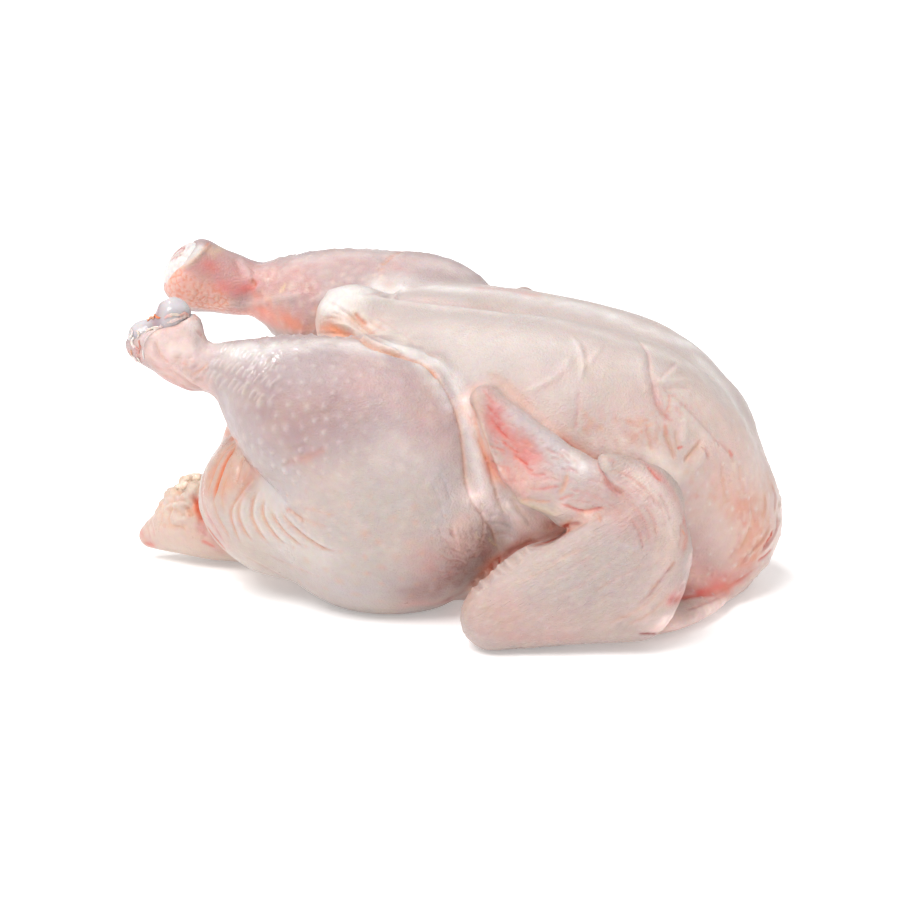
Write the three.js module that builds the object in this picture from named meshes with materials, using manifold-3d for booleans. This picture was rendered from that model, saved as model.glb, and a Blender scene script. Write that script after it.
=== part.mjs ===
import * as THREE from 'three';
import Module from 'manifold-3d';

// A whole raw chicken that lies on its back with the breast up. Millimetres, +Z up.
// +X points to the neck, -X to the drumsticks and the tail. The near side is -Y.
// Each form is a distance function. Blended together they are the skin, which is then meshed.

const NEAR = -1;
const FAR = 1;

// Edge of the cells that each surface is meshed with.
const SKIN_CELL = 6.4;
const JOINT_CELL = 2.2;

// Clearance between a joint end and the socket that it sits in.
const SOCKET_GAP = 0.3;
// Rounding where the underside meets the surface that the bird lies on.
const REST_ROUNDING = 2;

// A tube's rings are [x, y, z, radius], with y counted outwards from the middle of the bird.
const BREAST = {
  nearLobe: [
    [-30, 12, 78, 26], [-4, 17, 70, 39.5], [30, 21, 67, 43.5],
    [62, 20, 63, 41.5], [82, 12, 52, 35.5],
  ],
  farLobe: [
    [-30, 12, 81, 26], [-4, 17, 73, 39.5], [30, 21, 65.5, 43.5],
    [62, 20, 60, 41.5], [82, 12, 52.5, 35.5],
  ],
  prow: { centre: [-39.5, -2, 103], radii: [15, 16, 13.5] },
};
const TRUNK = {
  keel: [[-34, -1, 96, 14], [0, 0, 93, 15]],
  neckBase: [[60, 0, 34, 38], [93, 0, 29, 35]],
  back: { centre: [8, 0, 34], radii: [96, 55, 42] },
  belly: { centre: [-48, 0, 44], radii: [46, 36, 40] },
  neckSkin: { centre: [61, -1, 5.5], radii: [52.5, 76, 10] },
};
const TAIL = {
  stem: [[-84, 0, 20, 19], [-102, 0, 18.5, 16.5], [-115, 0, 13.2, 9.6], [-124.5, 0, 9.5, 5]],
  root: { centre: [-66, 0, 34], radii: [29, 34, 27] },
};
const FLANK = { centre: [-60, 30, 38.5], radii: [36, 31, 31.5] };
const THIGH = { centre: [-22, 37, 42], radii: [50, 39, 46] };
const NEAR_DRUMSTICK = [
  [-98, 45, 95, 9],
  [-86, 45, 93, 9.4],
  [-72, 45, 89.5, 15.2],
  [-55.5, 45, 80, 26],
  [-40, 44, 73, 32.5],
  [-14, 43, 72, 31.5],
  [2, 42, 58, 26],
];
const FAR_DRUMSTICK = [
  [-100, 46, 104, 12.5],
  [-89, 46, 102, 11.3],
  [-77, 46, 100, 15],
  [-57, 46, 95, 24.4],
  [-37, 45, 91.5, 27.8],
  [-14, 43, 89, 27.5],
  [2, 42, 62, 26],
];
// The drumstick stands off the thigh behind the knee and grows into it at the knee.
const KNEE = { from: -64, to: -34, looseBlend: 4, fullBlend: 22 };

const NEAR_HOCK = {
  sleeve: [[-99, 45, 112], [-111, 45, 102.5], [-94, 45, 92]],
  sleeveThickness: 8.3,
  rimNormal: [-0.34, 0, 0.94],
  rimPoint: [-93.5, 45, 113.3],
  condyles: [
    { centre: [-100.7, 45, 113.2], radii: [6.6, 7.2, 6.4] },
    { centre: [-106.6, 45, 107.3], radii: [6, 6, 4.4] },
    { centre: [-112.6, 45, 104.6], radii: [5.6, 7, 5.8] },
  ],
};
const FAR_HOCK = {
  knuckle: [[-113.5, 46, 106.8], [-98, 46, 103.5]],
  radii: [15.2, 11.5],
  cutNormal: [-0.7, -0.27, 0.66],
  cutOffset: 9.5,
  boneRadii: [5.4, 9.6, 10.8],
  boneDepth: 1.6,
};

const WING = {
  elbow: [26, 80.5, 13],
  wrist: [80.5, 73, 55.5],
  shoulder: [77, 73, 16.5],
  thickness: 13,
  forearm: [[38, 79, 22], [70, 76, 46]],
  forearmRadii: [12, 14],
  hollow: [[66.5, 75, 58.6], [47, 75, 44.6]],
  hollowDepth: 7,
  hollowReach: 8,
  frontEdge: [[82, 72, 36], [80, 72, 30]],
  frontEdgeRadii: [14, 14],
  armpit: [[34, 58, 14], [76, 57, 44], [72, 52, 18]],
  armpitThickness: 12.5,
  alula: [[67, 79, 71.5], [79, 75, 60]],
  alulaRadii: [4.5, 11],
};
const WING_TIP = {
  point: [19.5, 61, 89.5],
  trailing: [30, 67.5, 65],
  lowerBase: [52, 75.5, 52],
  upperBase: [58, 75, 66],
  thickness: 5.2,
  bone: [[40, 73, 62], [66, 76, 60]],
  boneRadii: [7, 10],
};
// The far wing's tip lies higher up the breast than the near one's.
const FAR_TIP_LIFT = 8;

// How wide the seam is filled where two forms meet. A narrow seam shows as a crease.
const SEAMS = {
  keelCleft: 4,
  keel: 10,
  prow: 6,
  neckBase: 10,
  back: 16,
  belly: 14,
  neckSkin: 8,
  tailRoot: 6,
  tail: 6,
  flankToLeg: 5,
  legs: 4,
  hock: 3,
  hockRim: 1.5,
  hockCut: 2,
  condyles: 4,
  forearm: 8,
  frontEdge: 10,
  armpit: 6,
  tipWebs: 2,
  tipBone: 8,
  wingTip: 2.5,
  alula: 2,
  wings: 3,
};

const COLOURS = { skin: '#e6c9bd', cartilage: '#d3d5db', bone: '#e3cfc6' };

// Vectors ---------------------------------------------------------------------------------

const add = (a, b) => a.map((v, i) => v + b[i]);
const sub = (a, b) => a.map((v, i) => v - b[i]);
const scale = (a, s) => a.map((v) => v * s);
const dot = (a, b) => a[0] * b[0] + a[1] * b[1] + a[2] * b[2];
const unit = (a) => scale(a, 1 / Math.sqrt(dot(a, a)));
const clamp = (x, low, high) => Math.min(Math.max(x, low), high);

function cross(a, b) {
  return [
    a[1] * b[2] - a[2] * b[1],
    a[2] * b[0] - a[0] * b[2],
    a[0] * b[1] - a[1] * b[0],
  ];
}

// A point on the given side of the bird, with any radius after its place kept.
const onSide = ([x, y, z, ...rest], side) => [x, side * y, z, ...rest];

// Distance functions ----------------------------------------------------------------------

// The nearer of two distances, with the seam filled over the width k.
function blend(a, b, k) {
  const h = Math.max(k - Math.abs(a - b), 0) / k;
  return Math.min(a, b) - (h * h * k) / 4;
}

// What the first form keeps when it is cut by the second, with the edge rounded over k.
const cutBack = (a, b, k) => -blend(-a, -b, k);

function ellipsoid(p, centre, radii) {
  const q = sub(p, centre);
  const near = Math.hypot(q[0] / radii[0], q[1] / radii[1], q[2] / radii[2]);
  const steep = Math.hypot(q[0] / radii[0] ** 2, q[1] / radii[1] ** 2, q[2] / radii[2] ** 2);
  return steep < 1e-9 ? -Math.min(...radii) : (near * (near - 1)) / steep;
}

// A cone between two spheres that it meets without a step.
function roundCone(p, a, b, ra, rb) {
  const axis = sub(b, a);
  const length2 = dot(axis, axis);
  const taper = ra - rb;
  const side2 = length2 - taper * taper;
  const from = sub(p, a);
  const y = dot(from, axis);
  const z = y - length2;
  const off = sub(scale(from, length2), scale(axis, y));
  const x2 = dot(off, off);
  const k = Math.sign(taper) * taper * taper * x2;
  if (Math.sign(z) * side2 * z * z * length2 > k) {
    return Math.sqrt(x2 + z * z * length2) / length2 - rb;
  }
  if (Math.sign(y) * side2 * y * y * length2 < k) {
    return Math.sqrt(x2 + y * y * length2) / length2 - ra;
  }
  return (Math.sqrt((x2 * side2) / length2) + y * taper) / length2 - ra;
}

const cone = (p, [a, b], [ra, rb], side = FAR) => roundCone(p, onSide(a, side), onSide(b, side), ra, rb);

// A round limb along a smooth curve through its rings.
function limb(rings, side = FAR, steps = 4) {
  const curve = smoothRings(rings.map((ring) => onSide(ring, side)), steps);
  return (p) => {
    let d = Infinity;
    for (let i = 1; i < curve.length; i++) {
      const a = curve[i - 1];
      const b = curve[i];
      d = Math.min(d, roundCone(p, a, b, a[3], b[3]));
    }
    return d;
  };
}

// Catmull-Rom rings between the given ones, with the radius carried along.
function smoothRings(rings, steps) {
  const last = rings.length - 1;
  const before = sub(scale(rings[0], 2), rings[1]);
  const after = sub(scale(rings[last], 2), rings[last - 1]);
  const all = [before, ...rings, after];
  const out = [];
  for (let i = 1; i <= last; i++) {
    for (let s = 0; s < steps; s++) {
      const [a, b, c, d] = all.slice(i - 1, i + 3);
      out.push(b.map((v, j) => catmullRom(a[j], v, c[j], d[j], s / steps)));
    }
  }
  out.push(rings[last]);
  return out;
}

function catmullRom(a, b, c, d, t) {
  const square = (2 * a - 5 * b + 4 * c - d) * t * t;
  const cube = (3 * b - a - 3 * c + d) * t * t * t;
  return 0.5 * (2 * b + (c - a) * t + square + cube);
}

// A flat triangle of flesh, thickened all round.
function web(p, corners, thickness, side = FAR) {
  const [a, b, c] = corners.map((corner) => onSide(corner, side));
  const normal = cross(sub(b, a), sub(a, c));
  const edges = [[a, b], [b, c], [c, a]];
  const within = edges.every(([from, to]) => dot(cross(sub(to, from), normal), sub(p, from)) >= 0);
  if (within) return Math.abs(dot(normal, sub(p, a))) / Math.hypot(...normal) - thickness;
  return Math.min(...edges.map(([from, to]) => toSegment(p, from, to))) - thickness;
}

function toSegment(p, from, to) {
  const along = sub(to, from);
  const t = clamp(dot(sub(p, from), along) / dot(along, along), 0, 1);
  return Math.hypot(...sub(sub(p, from), scale(along, t)));
}

const pastPlane = (p, point, normal) => dot(sub(p, point), unit(normal));

function smoothStep(x, from, to) {
  const t = clamp((x - from) / (to - from), 0, 1);
  return t * t * (3 - 2 * t);
}

// The bird's forms ------------------------------------------------------------------------

const nearLobe = limb(BREAST.nearLobe, NEAR);
const farLobe = limb(BREAST.farLobe, FAR);
const nearDrumstick = limb(NEAR_DRUMSTICK, NEAR);
const farDrumstick = limb(FAR_DRUMSTICK, FAR);
const keel = limb(TRUNK.keel, FAR, 1);
const neckBase = limb(TRUNK.neckBase, FAR, 1);
const tailStem = limb(TAIL.stem);

function trunk(p) {
  let d = blend(nearLobe(p), farLobe(p), SEAMS.keelCleft);
  d = blend(d, keel(p), SEAMS.keel);
  d = blend(d, ellipsoid(p, BREAST.prow.centre, BREAST.prow.radii), SEAMS.prow);
  d = blend(d, neckBase(p), SEAMS.neckBase);
  d = blend(d, ellipsoid(p, TRUNK.back.centre, TRUNK.back.radii), SEAMS.back);
  d = blend(d, ellipsoid(p, TRUNK.belly.centre, TRUNK.belly.radii), SEAMS.belly);
  return blend(d, ellipsoid(p, TRUNK.neckSkin.centre, TRUNK.neckSkin.radii), SEAMS.neckSkin);
}

const tail = (p) => blend(tailStem(p), ellipsoid(p, TAIL.root.centre, TAIL.root.radii), SEAMS.tailRoot);

const flank = (p, side) => ellipsoid(p, onSide(FLANK.centre, side), FLANK.radii);

function leg(p, side) {
  const drumstick = side === NEAR ? nearDrumstick(p) : farDrumstick(p);
  const thigh = ellipsoid(p, onSide(THIGH.centre, side), THIGH.radii);
  const grown = smoothStep(p[0], KNEE.from, KNEE.to);
  const width = KNEE.looseBlend + (KNEE.fullBlend - KNEE.looseBlend) * grown;
  const hock = side === NEAR ? nearHock(p) : farHock(p);
  return blend(blend(drumstick, thigh, width), hock, SEAMS.hock);
}

// The sleeve of skin at the end of the near leg, open at its rim.
function nearHock(p) {
  const sleeve = web(p, NEAR_HOCK.sleeve, NEAR_HOCK.sleeveThickness, NEAR);
  const rim = pastPlane(p, onSide(NEAR_HOCK.rimPoint, NEAR), NEAR_HOCK.rimNormal);
  return cutBack(sleeve, rim, SEAMS.hockRim);
}

// The knuckle at the end of the far leg, with the face where the foot was cut off.
function farHock(p) {
  const knuckle = cone(p, FAR_HOCK.knuckle, FAR_HOCK.radii);
  return cutBack(knuckle, pastPlane(p, farCutCentre(), FAR_HOCK.cutNormal), SEAMS.hockCut);
}

function farCutCentre() {
  return add(FAR_HOCK.knuckle[0], scale(unit(FAR_HOCK.cutNormal), FAR_HOCK.cutOffset));
}

function wing(p, side) {
  let d = web(p, [WING.elbow, WING.wrist, WING.shoulder], WING.thickness, side);
  d = blend(d, cone(p, WING.forearm, WING.forearmRadii, side), SEAMS.forearm);
  d = blend(d, cone(p, WING.frontEdge, WING.frontEdgeRadii, side), SEAMS.frontEdge);
  const intoHollow = cone(p, WING.hollow, [0, 0], side) / WING.hollowReach;
  d += WING.hollowDepth * Math.exp(-intoHollow * intoHollow);
  d = blend(d, web(p, WING.armpit, WING.armpitThickness, side), SEAMS.armpit);
  d = blend(d, wingTip(p, side), SEAMS.wingTip);
  return blend(d, cone(p, WING.alula, WING.alulaRadii, side), SEAMS.alula);
}

function wingTip(p, side) {
  const lift = side === FAR ? FAR_TIP_LIFT : 0;
  const point = add(WING_TIP.point, [0, 0, lift]);
  const trailing = add(WING_TIP.trailing, [0, 0, lift / 2]);
  const upper = web(p, [point, WING_TIP.lowerBase, WING_TIP.upperBase], WING_TIP.thickness, side);
  const lower = web(p, [point, trailing, WING_TIP.lowerBase], WING_TIP.thickness, side);
  const bone = cone(p, WING_TIP.bone, WING_TIP.boneRadii, side);
  return blend(blend(upper, lower, SEAMS.tipWebs), bone, SEAMS.tipBone);
}

function skin(p) {
  let d = blend(trunk(p), tail(p), SEAMS.tail);
  for (const side of [NEAR, FAR]) {
    const quarter = blend(flank(p, side), leg(p, side), SEAMS.flankToLeg);
    d = blend(d, quarter, SEAMS.legs);
  }
  for (const side of [NEAR, FAR]) d = blend(d, wing(p, side), SEAMS.wings);
  return cutBack(d, -p[2], REST_ROUNDING);
}

// The two rounded joint faces at the end of the near shin bone, with the saddle between them.
function nearCartilage(p) {
  const [upper, saddle, lower] = NEAR_HOCK.condyles.map(({ centre, radii }) => {
    return ellipsoid(p, onSide(centre, NEAR), radii);
  });
  return blend(blend(upper, saddle, SEAMS.condyles), lower, SEAMS.condyles);
}

// The oval end of the far shin bone, which stands a little out of the cut.
function farBone(p) {
  const axis = unit(FAR_HOCK.cutNormal);
  const level = unit(cross(axis, [0, 0, 1]));
  const up = cross(level, axis);
  const q = sub(p, farCutCentre());
  const local = [dot(q, axis), dot(q, level), dot(q, up)];
  return ellipsoid(local, [-FAR_HOCK.boneDepth, 0, 0], FAR_HOCK.boneRadii);
}

// Meshing ---------------------------------------------------------------------------------

const AXES = [[1, 0, 0], [0, 1, 0], [0, 0, 1]];

// The corners of a cell are numbered by the bits of x, y and z. An edge starts at a corner
// whose bit for its axis is clear.
const CORNERS = [...Array(8).keys()].map((i) => [i & 1, (i >> 1) & 1, (i >> 2) & 1]);
const EDGES = CORNERS.flatMap((_, corner) => {
  return [0, 1, 2].filter((axis) => !(corner & (1 << axis))).map((axis) => {
    return { corner, end: corner | (1 << axis), axis, number: corner * 3 + axis };
  });
});
const CELL_SLOTS = 24;
// How far apart the slope is measured and how far a point may settle, in cells. A point on a
// crease, where the slope is weak, stays where it is.
const SLOPE_REACH = 0.25;
const MOST_SETTLING = 0.25;
const LEAST_SLOPE = 0.85;
const SIDES = [0, 1, 2].flatMap((axis) => [0, 1].map((at) => {
  const start = at << axis;
  const u = 1 << ((axis + 1) % 3);
  const v = 1 << ((axis + 2) % 3);
  return [start, start | u, start | u | v, start | v];
}));

// Samples a distance function on a grid of cubes over a box.
function sample(distance, low, high, cell) {
  const count = low.map((v, i) => Math.ceil((high[i] - v) / cell) + 1);
  const place = (i, j, k) => add(low, scale([i, j, k], cell));
  const index = (i, j, k) => (i * count[1] + j) * count[2] + k;
  const values = new Float64Array(count[0] * count[1] * count[2]);
  for (let i = 0; i < count[0]; i++) {
    for (let j = 0; j < count[1]; j++) {
      for (let k = 0; k < count[2]; k++) values[index(i, j, k)] = distance(place(i, j, k));
    }
  }
  return { count, place, index, values };
}

// Joins the corners that lie in one piece of flesh, or in one piece of air, within a cell.
// Where a side has its flesh corners across a diagonal, its air corners are the joined ones.
function cornerGroups(inside) {
  const group = [...inside.keys()];
  const join = (a, b) => {
    const old = group[b];
    group.forEach((g, i) => {
      if (g === old) group[i] = group[a];
    });
  };
  for (const { corner, end } of EDGES) if (inside[corner] === inside[end]) join(corner, end);
  for (const [a, b, c, d] of SIDES) {
    if (inside[a] !== inside[c] || inside[b] !== inside[d] || inside[a] === inside[b]) continue;
    if (inside[a]) join(b, d);
    else join(a, c);
  }
  return group;
}

// One point for each sheet of surface in a cell: the middle of its crossings of the edges.
function cellPoints(grid, i, j, k) {
  const values = CORNERS.map(([a, b, c]) => grid.values[grid.index(i + a, j + b, k + c)]);
  const inside = values.map((v) => v < 0);
  if (inside.every((v) => v === inside[0])) return [];
  const group = cornerGroups(inside);
  const sheets = new Map();
  for (const edge of EDGES) {
    if (inside[edge.corner] === inside[edge.end]) continue;
    const [flesh, air] = inside[edge.corner] ? [edge.corner, edge.end] : [edge.end, edge.corner];
    const name = group[flesh] * 8 + group[air];
    const sheet = sheets.get(name) ?? { sum: [0, 0, 0], edges: [] };
    const t = values[edge.corner] / (values[edge.corner] - values[edge.end]);
    sheet.sum = add(sheet.sum, add(CORNERS[edge.corner], scale(AXES[edge.axis], t)));
    sheet.edges.push(edge.number);
    sheets.set(name, sheet);
  }
  return [...sheets.values()].map(({ sum, edges }) => {
    return { edges, point: grid.place(...add([i, j, k], scale(sum, 1 / edges.length))) };
  });
}

// Moves a point towards the surface along the slope of the distance, by a part of a cell at most.
function settle(distance, point, cell) {
  const reach = SLOPE_REACH * cell;
  const slope = AXES.map((axis) => {
    const step = scale(axis, reach);
    return (distance(add(point, step)) - distance(sub(point, step))) / (2 * reach);
  });
  const steepness2 = dot(slope, slope);
  if (steepness2 < LEAST_SLOPE ** 2) return point;
  const move = clamp(distance(point) / steepness2, -MOST_SETTLING * cell, MOST_SETTLING * cell);
  return sub(point, scale(slope, move));
}

// A closed net with a point for each sheet in a cell and a face for each crossed edge.
function surface(distance, low, high, cell) {
  const grid = sample(distance, low, high, cell);
  const [nx, ny, nz] = grid.count;
  const points = [];
  const numbers = new Map();
  for (let i = 0; i < nx - 1; i++) {
    for (let j = 0; j < ny - 1; j++) {
      for (let k = 0; k < nz - 1; k++) {
        for (const { edges, point } of cellPoints(grid, i, j, k)) {
          const slot = grid.index(i, j, k) * CELL_SLOTS;
          for (const edge of edges) numbers.set(slot + edge, points.length);
          points.push(settle(distance, point, cell));
        }
      }
    }
  }
  return { points, faces: netFaces(grid, numbers, points) };
}

function netFaces(grid, numbers, points) {
  const faces = [];
  const [nx, ny, nz] = grid.count;
  for (let i = 1; i < nx - 1; i++) {
    for (let j = 1; j < ny - 1; j++) {
      for (let k = 1; k < nz - 1; k++) {
        for (const axis of [0, 1, 2]) {
          const here = grid.values[grid.index(i, j, k)] < 0;
          const there = grid.values[grid.index(...add([i, j, k], AXES[axis]))] < 0;
          if (here === there) continue;
          const around = cellsAround(grid, [i, j, k], axis).map((slot) => numbers.get(slot));
          faces.push(...splitFace(here ? around : around.reverse(), points));
        }
      }
    }
  }
  return faces;
}

// The slots of the four cells round the edge that leaves a grid point along an axis.
function cellsAround(grid, at, axis) {
  const u = (axis + 1) % 3;
  const v = (axis + 2) % 3;
  return [[0, 0], [1, 0], [1, 1], [0, 1]].map(([s, t]) => {
    const cell = sub(sub(at, scale(AXES[u], s)), scale(AXES[v], t));
    const corner = (s << u) | (t << v);
    return grid.index(...cell) * CELL_SLOTS + corner * 3 + axis;
  });
}

// Two triangles for a face of four points, split along its shorter diagonal.
function splitFace([a, b, c, d], points) {
  const across = Math.hypot(...sub(points[a], points[c]));
  const other = Math.hypot(...sub(points[b], points[d]));
  return across <= other ? [a, b, c, a, c, d] : [a, b, d, b, c, d];
}

// Solids ----------------------------------------------------------------------------------

const wasm = await Module();
wasm.setup();

// Points this near to zero are set to it, so that the underside is truly flat.
const ON_THE_GROUND = 1e-3;

function solidOf({ points, faces }) {
  const flat = points.flat().map((v) => (Math.abs(v) < ON_THE_GROUND ? 0 : v));
  const mesh = { numProp: 3, vertProperties: new Float32Array(flat), triVerts: new Uint32Array(faces) };
  return new wasm.Manifold(new wasm.Mesh(mesh));
}

function geometryOf(solid) {
  const mesh = solid.getMesh();
  const geometry = new THREE.BufferGeometry();
  geometry.setAttribute('position', new THREE.BufferAttribute(mesh.vertProperties, 3));
  geometry.setIndex(new THREE.BufferAttribute(mesh.triVerts, 1));
  return geometry;
}

function box(centre, reach) {
  return [sub(centre, [reach, reach, reach]), add(centre, [reach, reach, reach])];
}

const SKIN_BOX = [[-140, -106, -8], [140, 106, 132]];
const NEAR_END_BOX = box(onSide(NEAR_HOCK.condyles[1].centre, NEAR), 18);
const FAR_END_BOX = box(farCutCentre(), 14);

function jointEnd(distance, [low, high], grown = 0) {
  return solidOf(surface((p) => distance(p) - grown, low, high, JOINT_CELL));
}

function makeSkin() {
  const whole = solidOf(surface(skin, ...SKIN_BOX, SKIN_CELL));
  const nearSocket = jointEnd(nearCartilage, NEAR_END_BOX, SOCKET_GAP);
  const farSocket = jointEnd(farBone, FAR_END_BOX, SOCKET_GAP);
  return whole.subtract(nearSocket).subtract(farSocket);
}

function makeMesh(name, solid, color, roughness) {
  const material = new THREE.MeshStandardMaterial({ color, roughness, metalness: 0 });
  const mesh = new THREE.Mesh(geometryOf(solid), material);
  mesh.name = name;
  return mesh;
}

const chicken = new THREE.Group();
chicken.add(makeMesh('chicken', makeSkin(), COLOURS.skin, 0.45));
const nearEnd = jointEnd(nearCartilage, NEAR_END_BOX);
chicken.add(makeMesh('near_hock_cartilage', nearEnd, COLOURS.cartilage, 0.25));
chicken.add(makeMesh('far_hock_bone', jointEnd(farBone, FAR_END_BOX), COLOURS.bone, 0.4));

export default chicken;
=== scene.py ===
"""A whole raw chicken on its back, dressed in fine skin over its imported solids.

The forms are distance functions in millimetres: +X to the neck, -X to the legs and tail, the near side at -Y.
Blended, they are meshed finely. Folds, goose bumps and colours are then drawn along tracks on that skin.
"""

import math
from collections import namedtuple

import bpy
import numpy as np
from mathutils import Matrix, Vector
from mathutils.bvhtree import BVHTree
from mathutils.kdtree import KDTree


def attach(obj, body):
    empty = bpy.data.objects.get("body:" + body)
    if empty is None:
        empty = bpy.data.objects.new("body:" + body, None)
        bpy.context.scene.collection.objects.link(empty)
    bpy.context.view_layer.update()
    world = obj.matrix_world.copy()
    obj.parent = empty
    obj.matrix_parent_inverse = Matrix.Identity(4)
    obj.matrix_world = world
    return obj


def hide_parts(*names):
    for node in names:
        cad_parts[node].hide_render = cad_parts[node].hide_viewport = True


MM = 0.001
NEAR, FAR = -1, 1
ROOT = "root"

# The camera, in degrees and metres. Tracks are drawn in pixels of its 912x914 view.
VIEW_WIDTH, VIEW_HEIGHT = 912, 914
VIEW_AZIMUTH, VIEW_ELEVATION, VIEW_DISTANCE = 8.0, 17.0, 1.0
VIEW_TARGET = (0.0, 0.0, 0.048)
LENS, SENSOR = 100.0, 36.0

# Edges of the cells that the surfaces are meshed with, in millimetres.
SKIN_CELL = 2.75
SMALL_CELL = 0.7
STRAND_CELL = 0.45
SKIN_BOX = ((-140, -106, -6), (142, 106, 134))

# A tube's rings are (x, y, z, radius), with y counted outwards from the middle of the bird.
NEAR_LOBE = [
    (-30, 12, 78, 26), (-4, 17, 70, 39.5), (30, 21, 67, 43.5), (62, 20, 63, 41.5), (82, 12, 52, 35.5),
]
FAR_LOBE = [
    (-30, 12, 81, 26), (-4, 17, 73, 39.5), (30, 21, 65.5, 43.5), (62, 20, 60, 41.5), (82, 12, 52.5, 35.5),
]
KEEL = [(-34, -1, 96, 14), (0, 0, 93, 15)]
NECK_BASE = [(60, 0, 34, 38), (93, 0, 29, 35)]
PROW = ((-39.5, -2, 103), (15, 16, 13.5))
BACK = ((8, 0, 34), (96, 55, 42))
BELLY = ((-48, 0, 44), (46, 36, 40))
NECK_SKIN = ((61, -1, 5.5), (52.5, 76, 10))
TAIL_STEM = [(-84, 0, 20, 19), (-102, 0, 18.5, 16.5), (-115, 0, 13.2, 9.6), (-124.5, 0, 9.5, 5)]
TAIL_ROOT = ((-66, 0, 34), (29, 34, 27))
FLANK = ((-60, 30, 38.5), (36, 31, 31.5))
THIGH = ((-22, 37, 42), (50, 39, 46))
NEAR_DRUMSTICK = [
    (-98, 45, 95, 9), (-86, 45, 93, 9.4), (-72, 45, 89.5, 15.2), (-55.5, 45, 80, 26),
    (-40, 44, 73, 32.5), (-14, 43, 72, 31.5), (2, 42, 58, 26),
]
FAR_DRUMSTICK = [
    (-100, 46, 104, 12.5), (-89, 46, 102, 11.3), (-77, 46, 100, 15), (-57, 46, 95, 24.4),
    (-37, 45, 91.5, 27.8), (-14, 43, 89, 27.5), (2, 42, 62, 26),
]
KNEE_FROM, KNEE_TO, KNEE_LOOSE, KNEE_FULL = -64, -34, 4, 22
SLEEVE = [(-99, 45, 112), (-111, 45, 102.5), (-94, 45, 92)]
SLEEVE_THICKNESS = 8.3
RIM_NORMAL, RIM_POINT = (-0.34, 0, 0.94), (-93.5, -45, 113.3)
CONDYLES = [
    ((-100.7, 45, 113.2), (6.6, 7.2, 6.4)),
    ((-106.6, 45, 107.3), (6, 6, 4.4)),
    ((-112.6, 45, 104.6), (5.6, 7, 5.8)),
]
KNUCKLE, KNUCKLE_RADII = [(-113.5, 46, 106.8), (-98, 46, 103.5)], (15.2, 11.5)
CUT_NORMAL, CUT_OFFSET = (-0.7, -0.27, 0.66), 9.5
BONE_RADII, BONE_DEPTH = (5.4, 9.6, 10.8), 1.6
ELBOW, WRIST, SHOULDER = (26, 80.5, 13), (80.5, 73, 55.5), (77, 73, 16.5)
FOREARM = [(38, 79, 22), (70, 76, 46)]
WING_HOLLOW, HOLLOW_DEPTH, HOLLOW_REACH = [(66.5, 75, 58.6), (47, 75, 44.6)], 7, 8
FRONT_EDGE = [(82, 72, 36), (80, 72, 30)]
ARMPIT = [(34, 58, 14), (76, 57, 44), (72, 52, 18)]
ALULA = [(67, 79, 71.5), (79, 75, 60)]
TIP_POINT, TIP_TRAILING = (19.5, 61, 89.5), (30, 67.5, 65)
TIP_LOWER, TIP_UPPER = (52, 75.5, 52), (58, 75, 66)
TIP_BONE = [(40, 73, 62), (66, 76, 60)]
FAR_TIP_LIFT = 8
FAR_SHIN_LIFT = 12


# Distance functions ------------------------------------------------------------------------------

def blend(a, b, k):
    """The nearer of two distances, with the seam filled over the width k."""
    h = np.maximum(k - np.abs(a - b), 0) / k
    return np.minimum(a, b) - h * h * k / 4


def cut_back(a, b, k):
    """What the first form keeps when it is cut by the second, with the edge rounded over k."""
    return -blend(-a, -b, k)


def on_side(point, side):
    return (point[0], side * point[1], *point[2:])


def unit(vector):
    return np.array(vector) / np.linalg.norm(vector)


def from_point(p, origin):
    return [p[i] - np.float32(origin[i]) for i in range(3)]


def along(q, v):
    return q[0] * np.float32(v[0]) + q[1] * np.float32(v[1]) + q[2] * np.float32(v[2])


def ellipsoid(p, centre, radii, side=FAR):
    q = from_point(p, on_side(centre, side))
    near = np.sqrt(sum((q[i] / np.float32(radii[i])) ** 2 for i in range(3)))
    steep = np.sqrt(sum((q[i] / np.float32(radii[i] ** 2)) ** 2 for i in range(3)))
    return near * (near - 1) / np.maximum(steep, np.float32(1e-6))


def round_cone(p, a, b, ra, rb):
    """A cone between two spheres that it meets without a step."""
    axis = np.subtract(b[:3], a[:3]).astype(np.float32)
    length2 = float(axis @ axis)
    taper = ra - rb
    side2 = length2 - taper * taper
    q = from_point(p, a)
    y = along(q, axis)
    z = y - length2
    off2 = np.maximum(q[0] ** 2 + q[1] ** 2 + q[2] ** 2 - y * y / length2, 0)
    k = math.copysign(1, taper) * taper * taper * off2
    tip = np.sqrt(off2 + z * z / length2) - rb
    base = np.sqrt(off2 + y * y / length2) - ra
    body = (np.sqrt(off2 * side2 * length2) + y * taper) / length2 - ra
    inner = np.where(np.sign(y) * side2 * y * y / length2 < k, base, body)
    return np.where(np.sign(z) * side2 * z * z / length2 > k, tip, inner)


def cone(p, ends, radii, side=FAR):
    a, b = (on_side(end, side) for end in ends)
    return round_cone(p, a, b, *radii)


def catmull_rom(a, b, c, d, t):
    square = (2 * a - 5 * b + 4 * c - d) * t * t
    cube = (3 * b - a - 3 * c + d) * t * t * t
    return 0.5 * (2 * b + (c - a) * t + square + cube)


def smooth_path(points, steps):
    """Points on a smooth curve through the given ones."""
    p = np.array(points, float)
    p = np.vstack([2 * p[0] - p[1], p, 2 * p[-1] - p[-2]])
    path = [catmull_rom(*p[i - 1:i + 3], s / steps) for i in range(1, len(p) - 2) for s in range(steps)]
    return np.array(path + [p[-2]])


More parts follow.
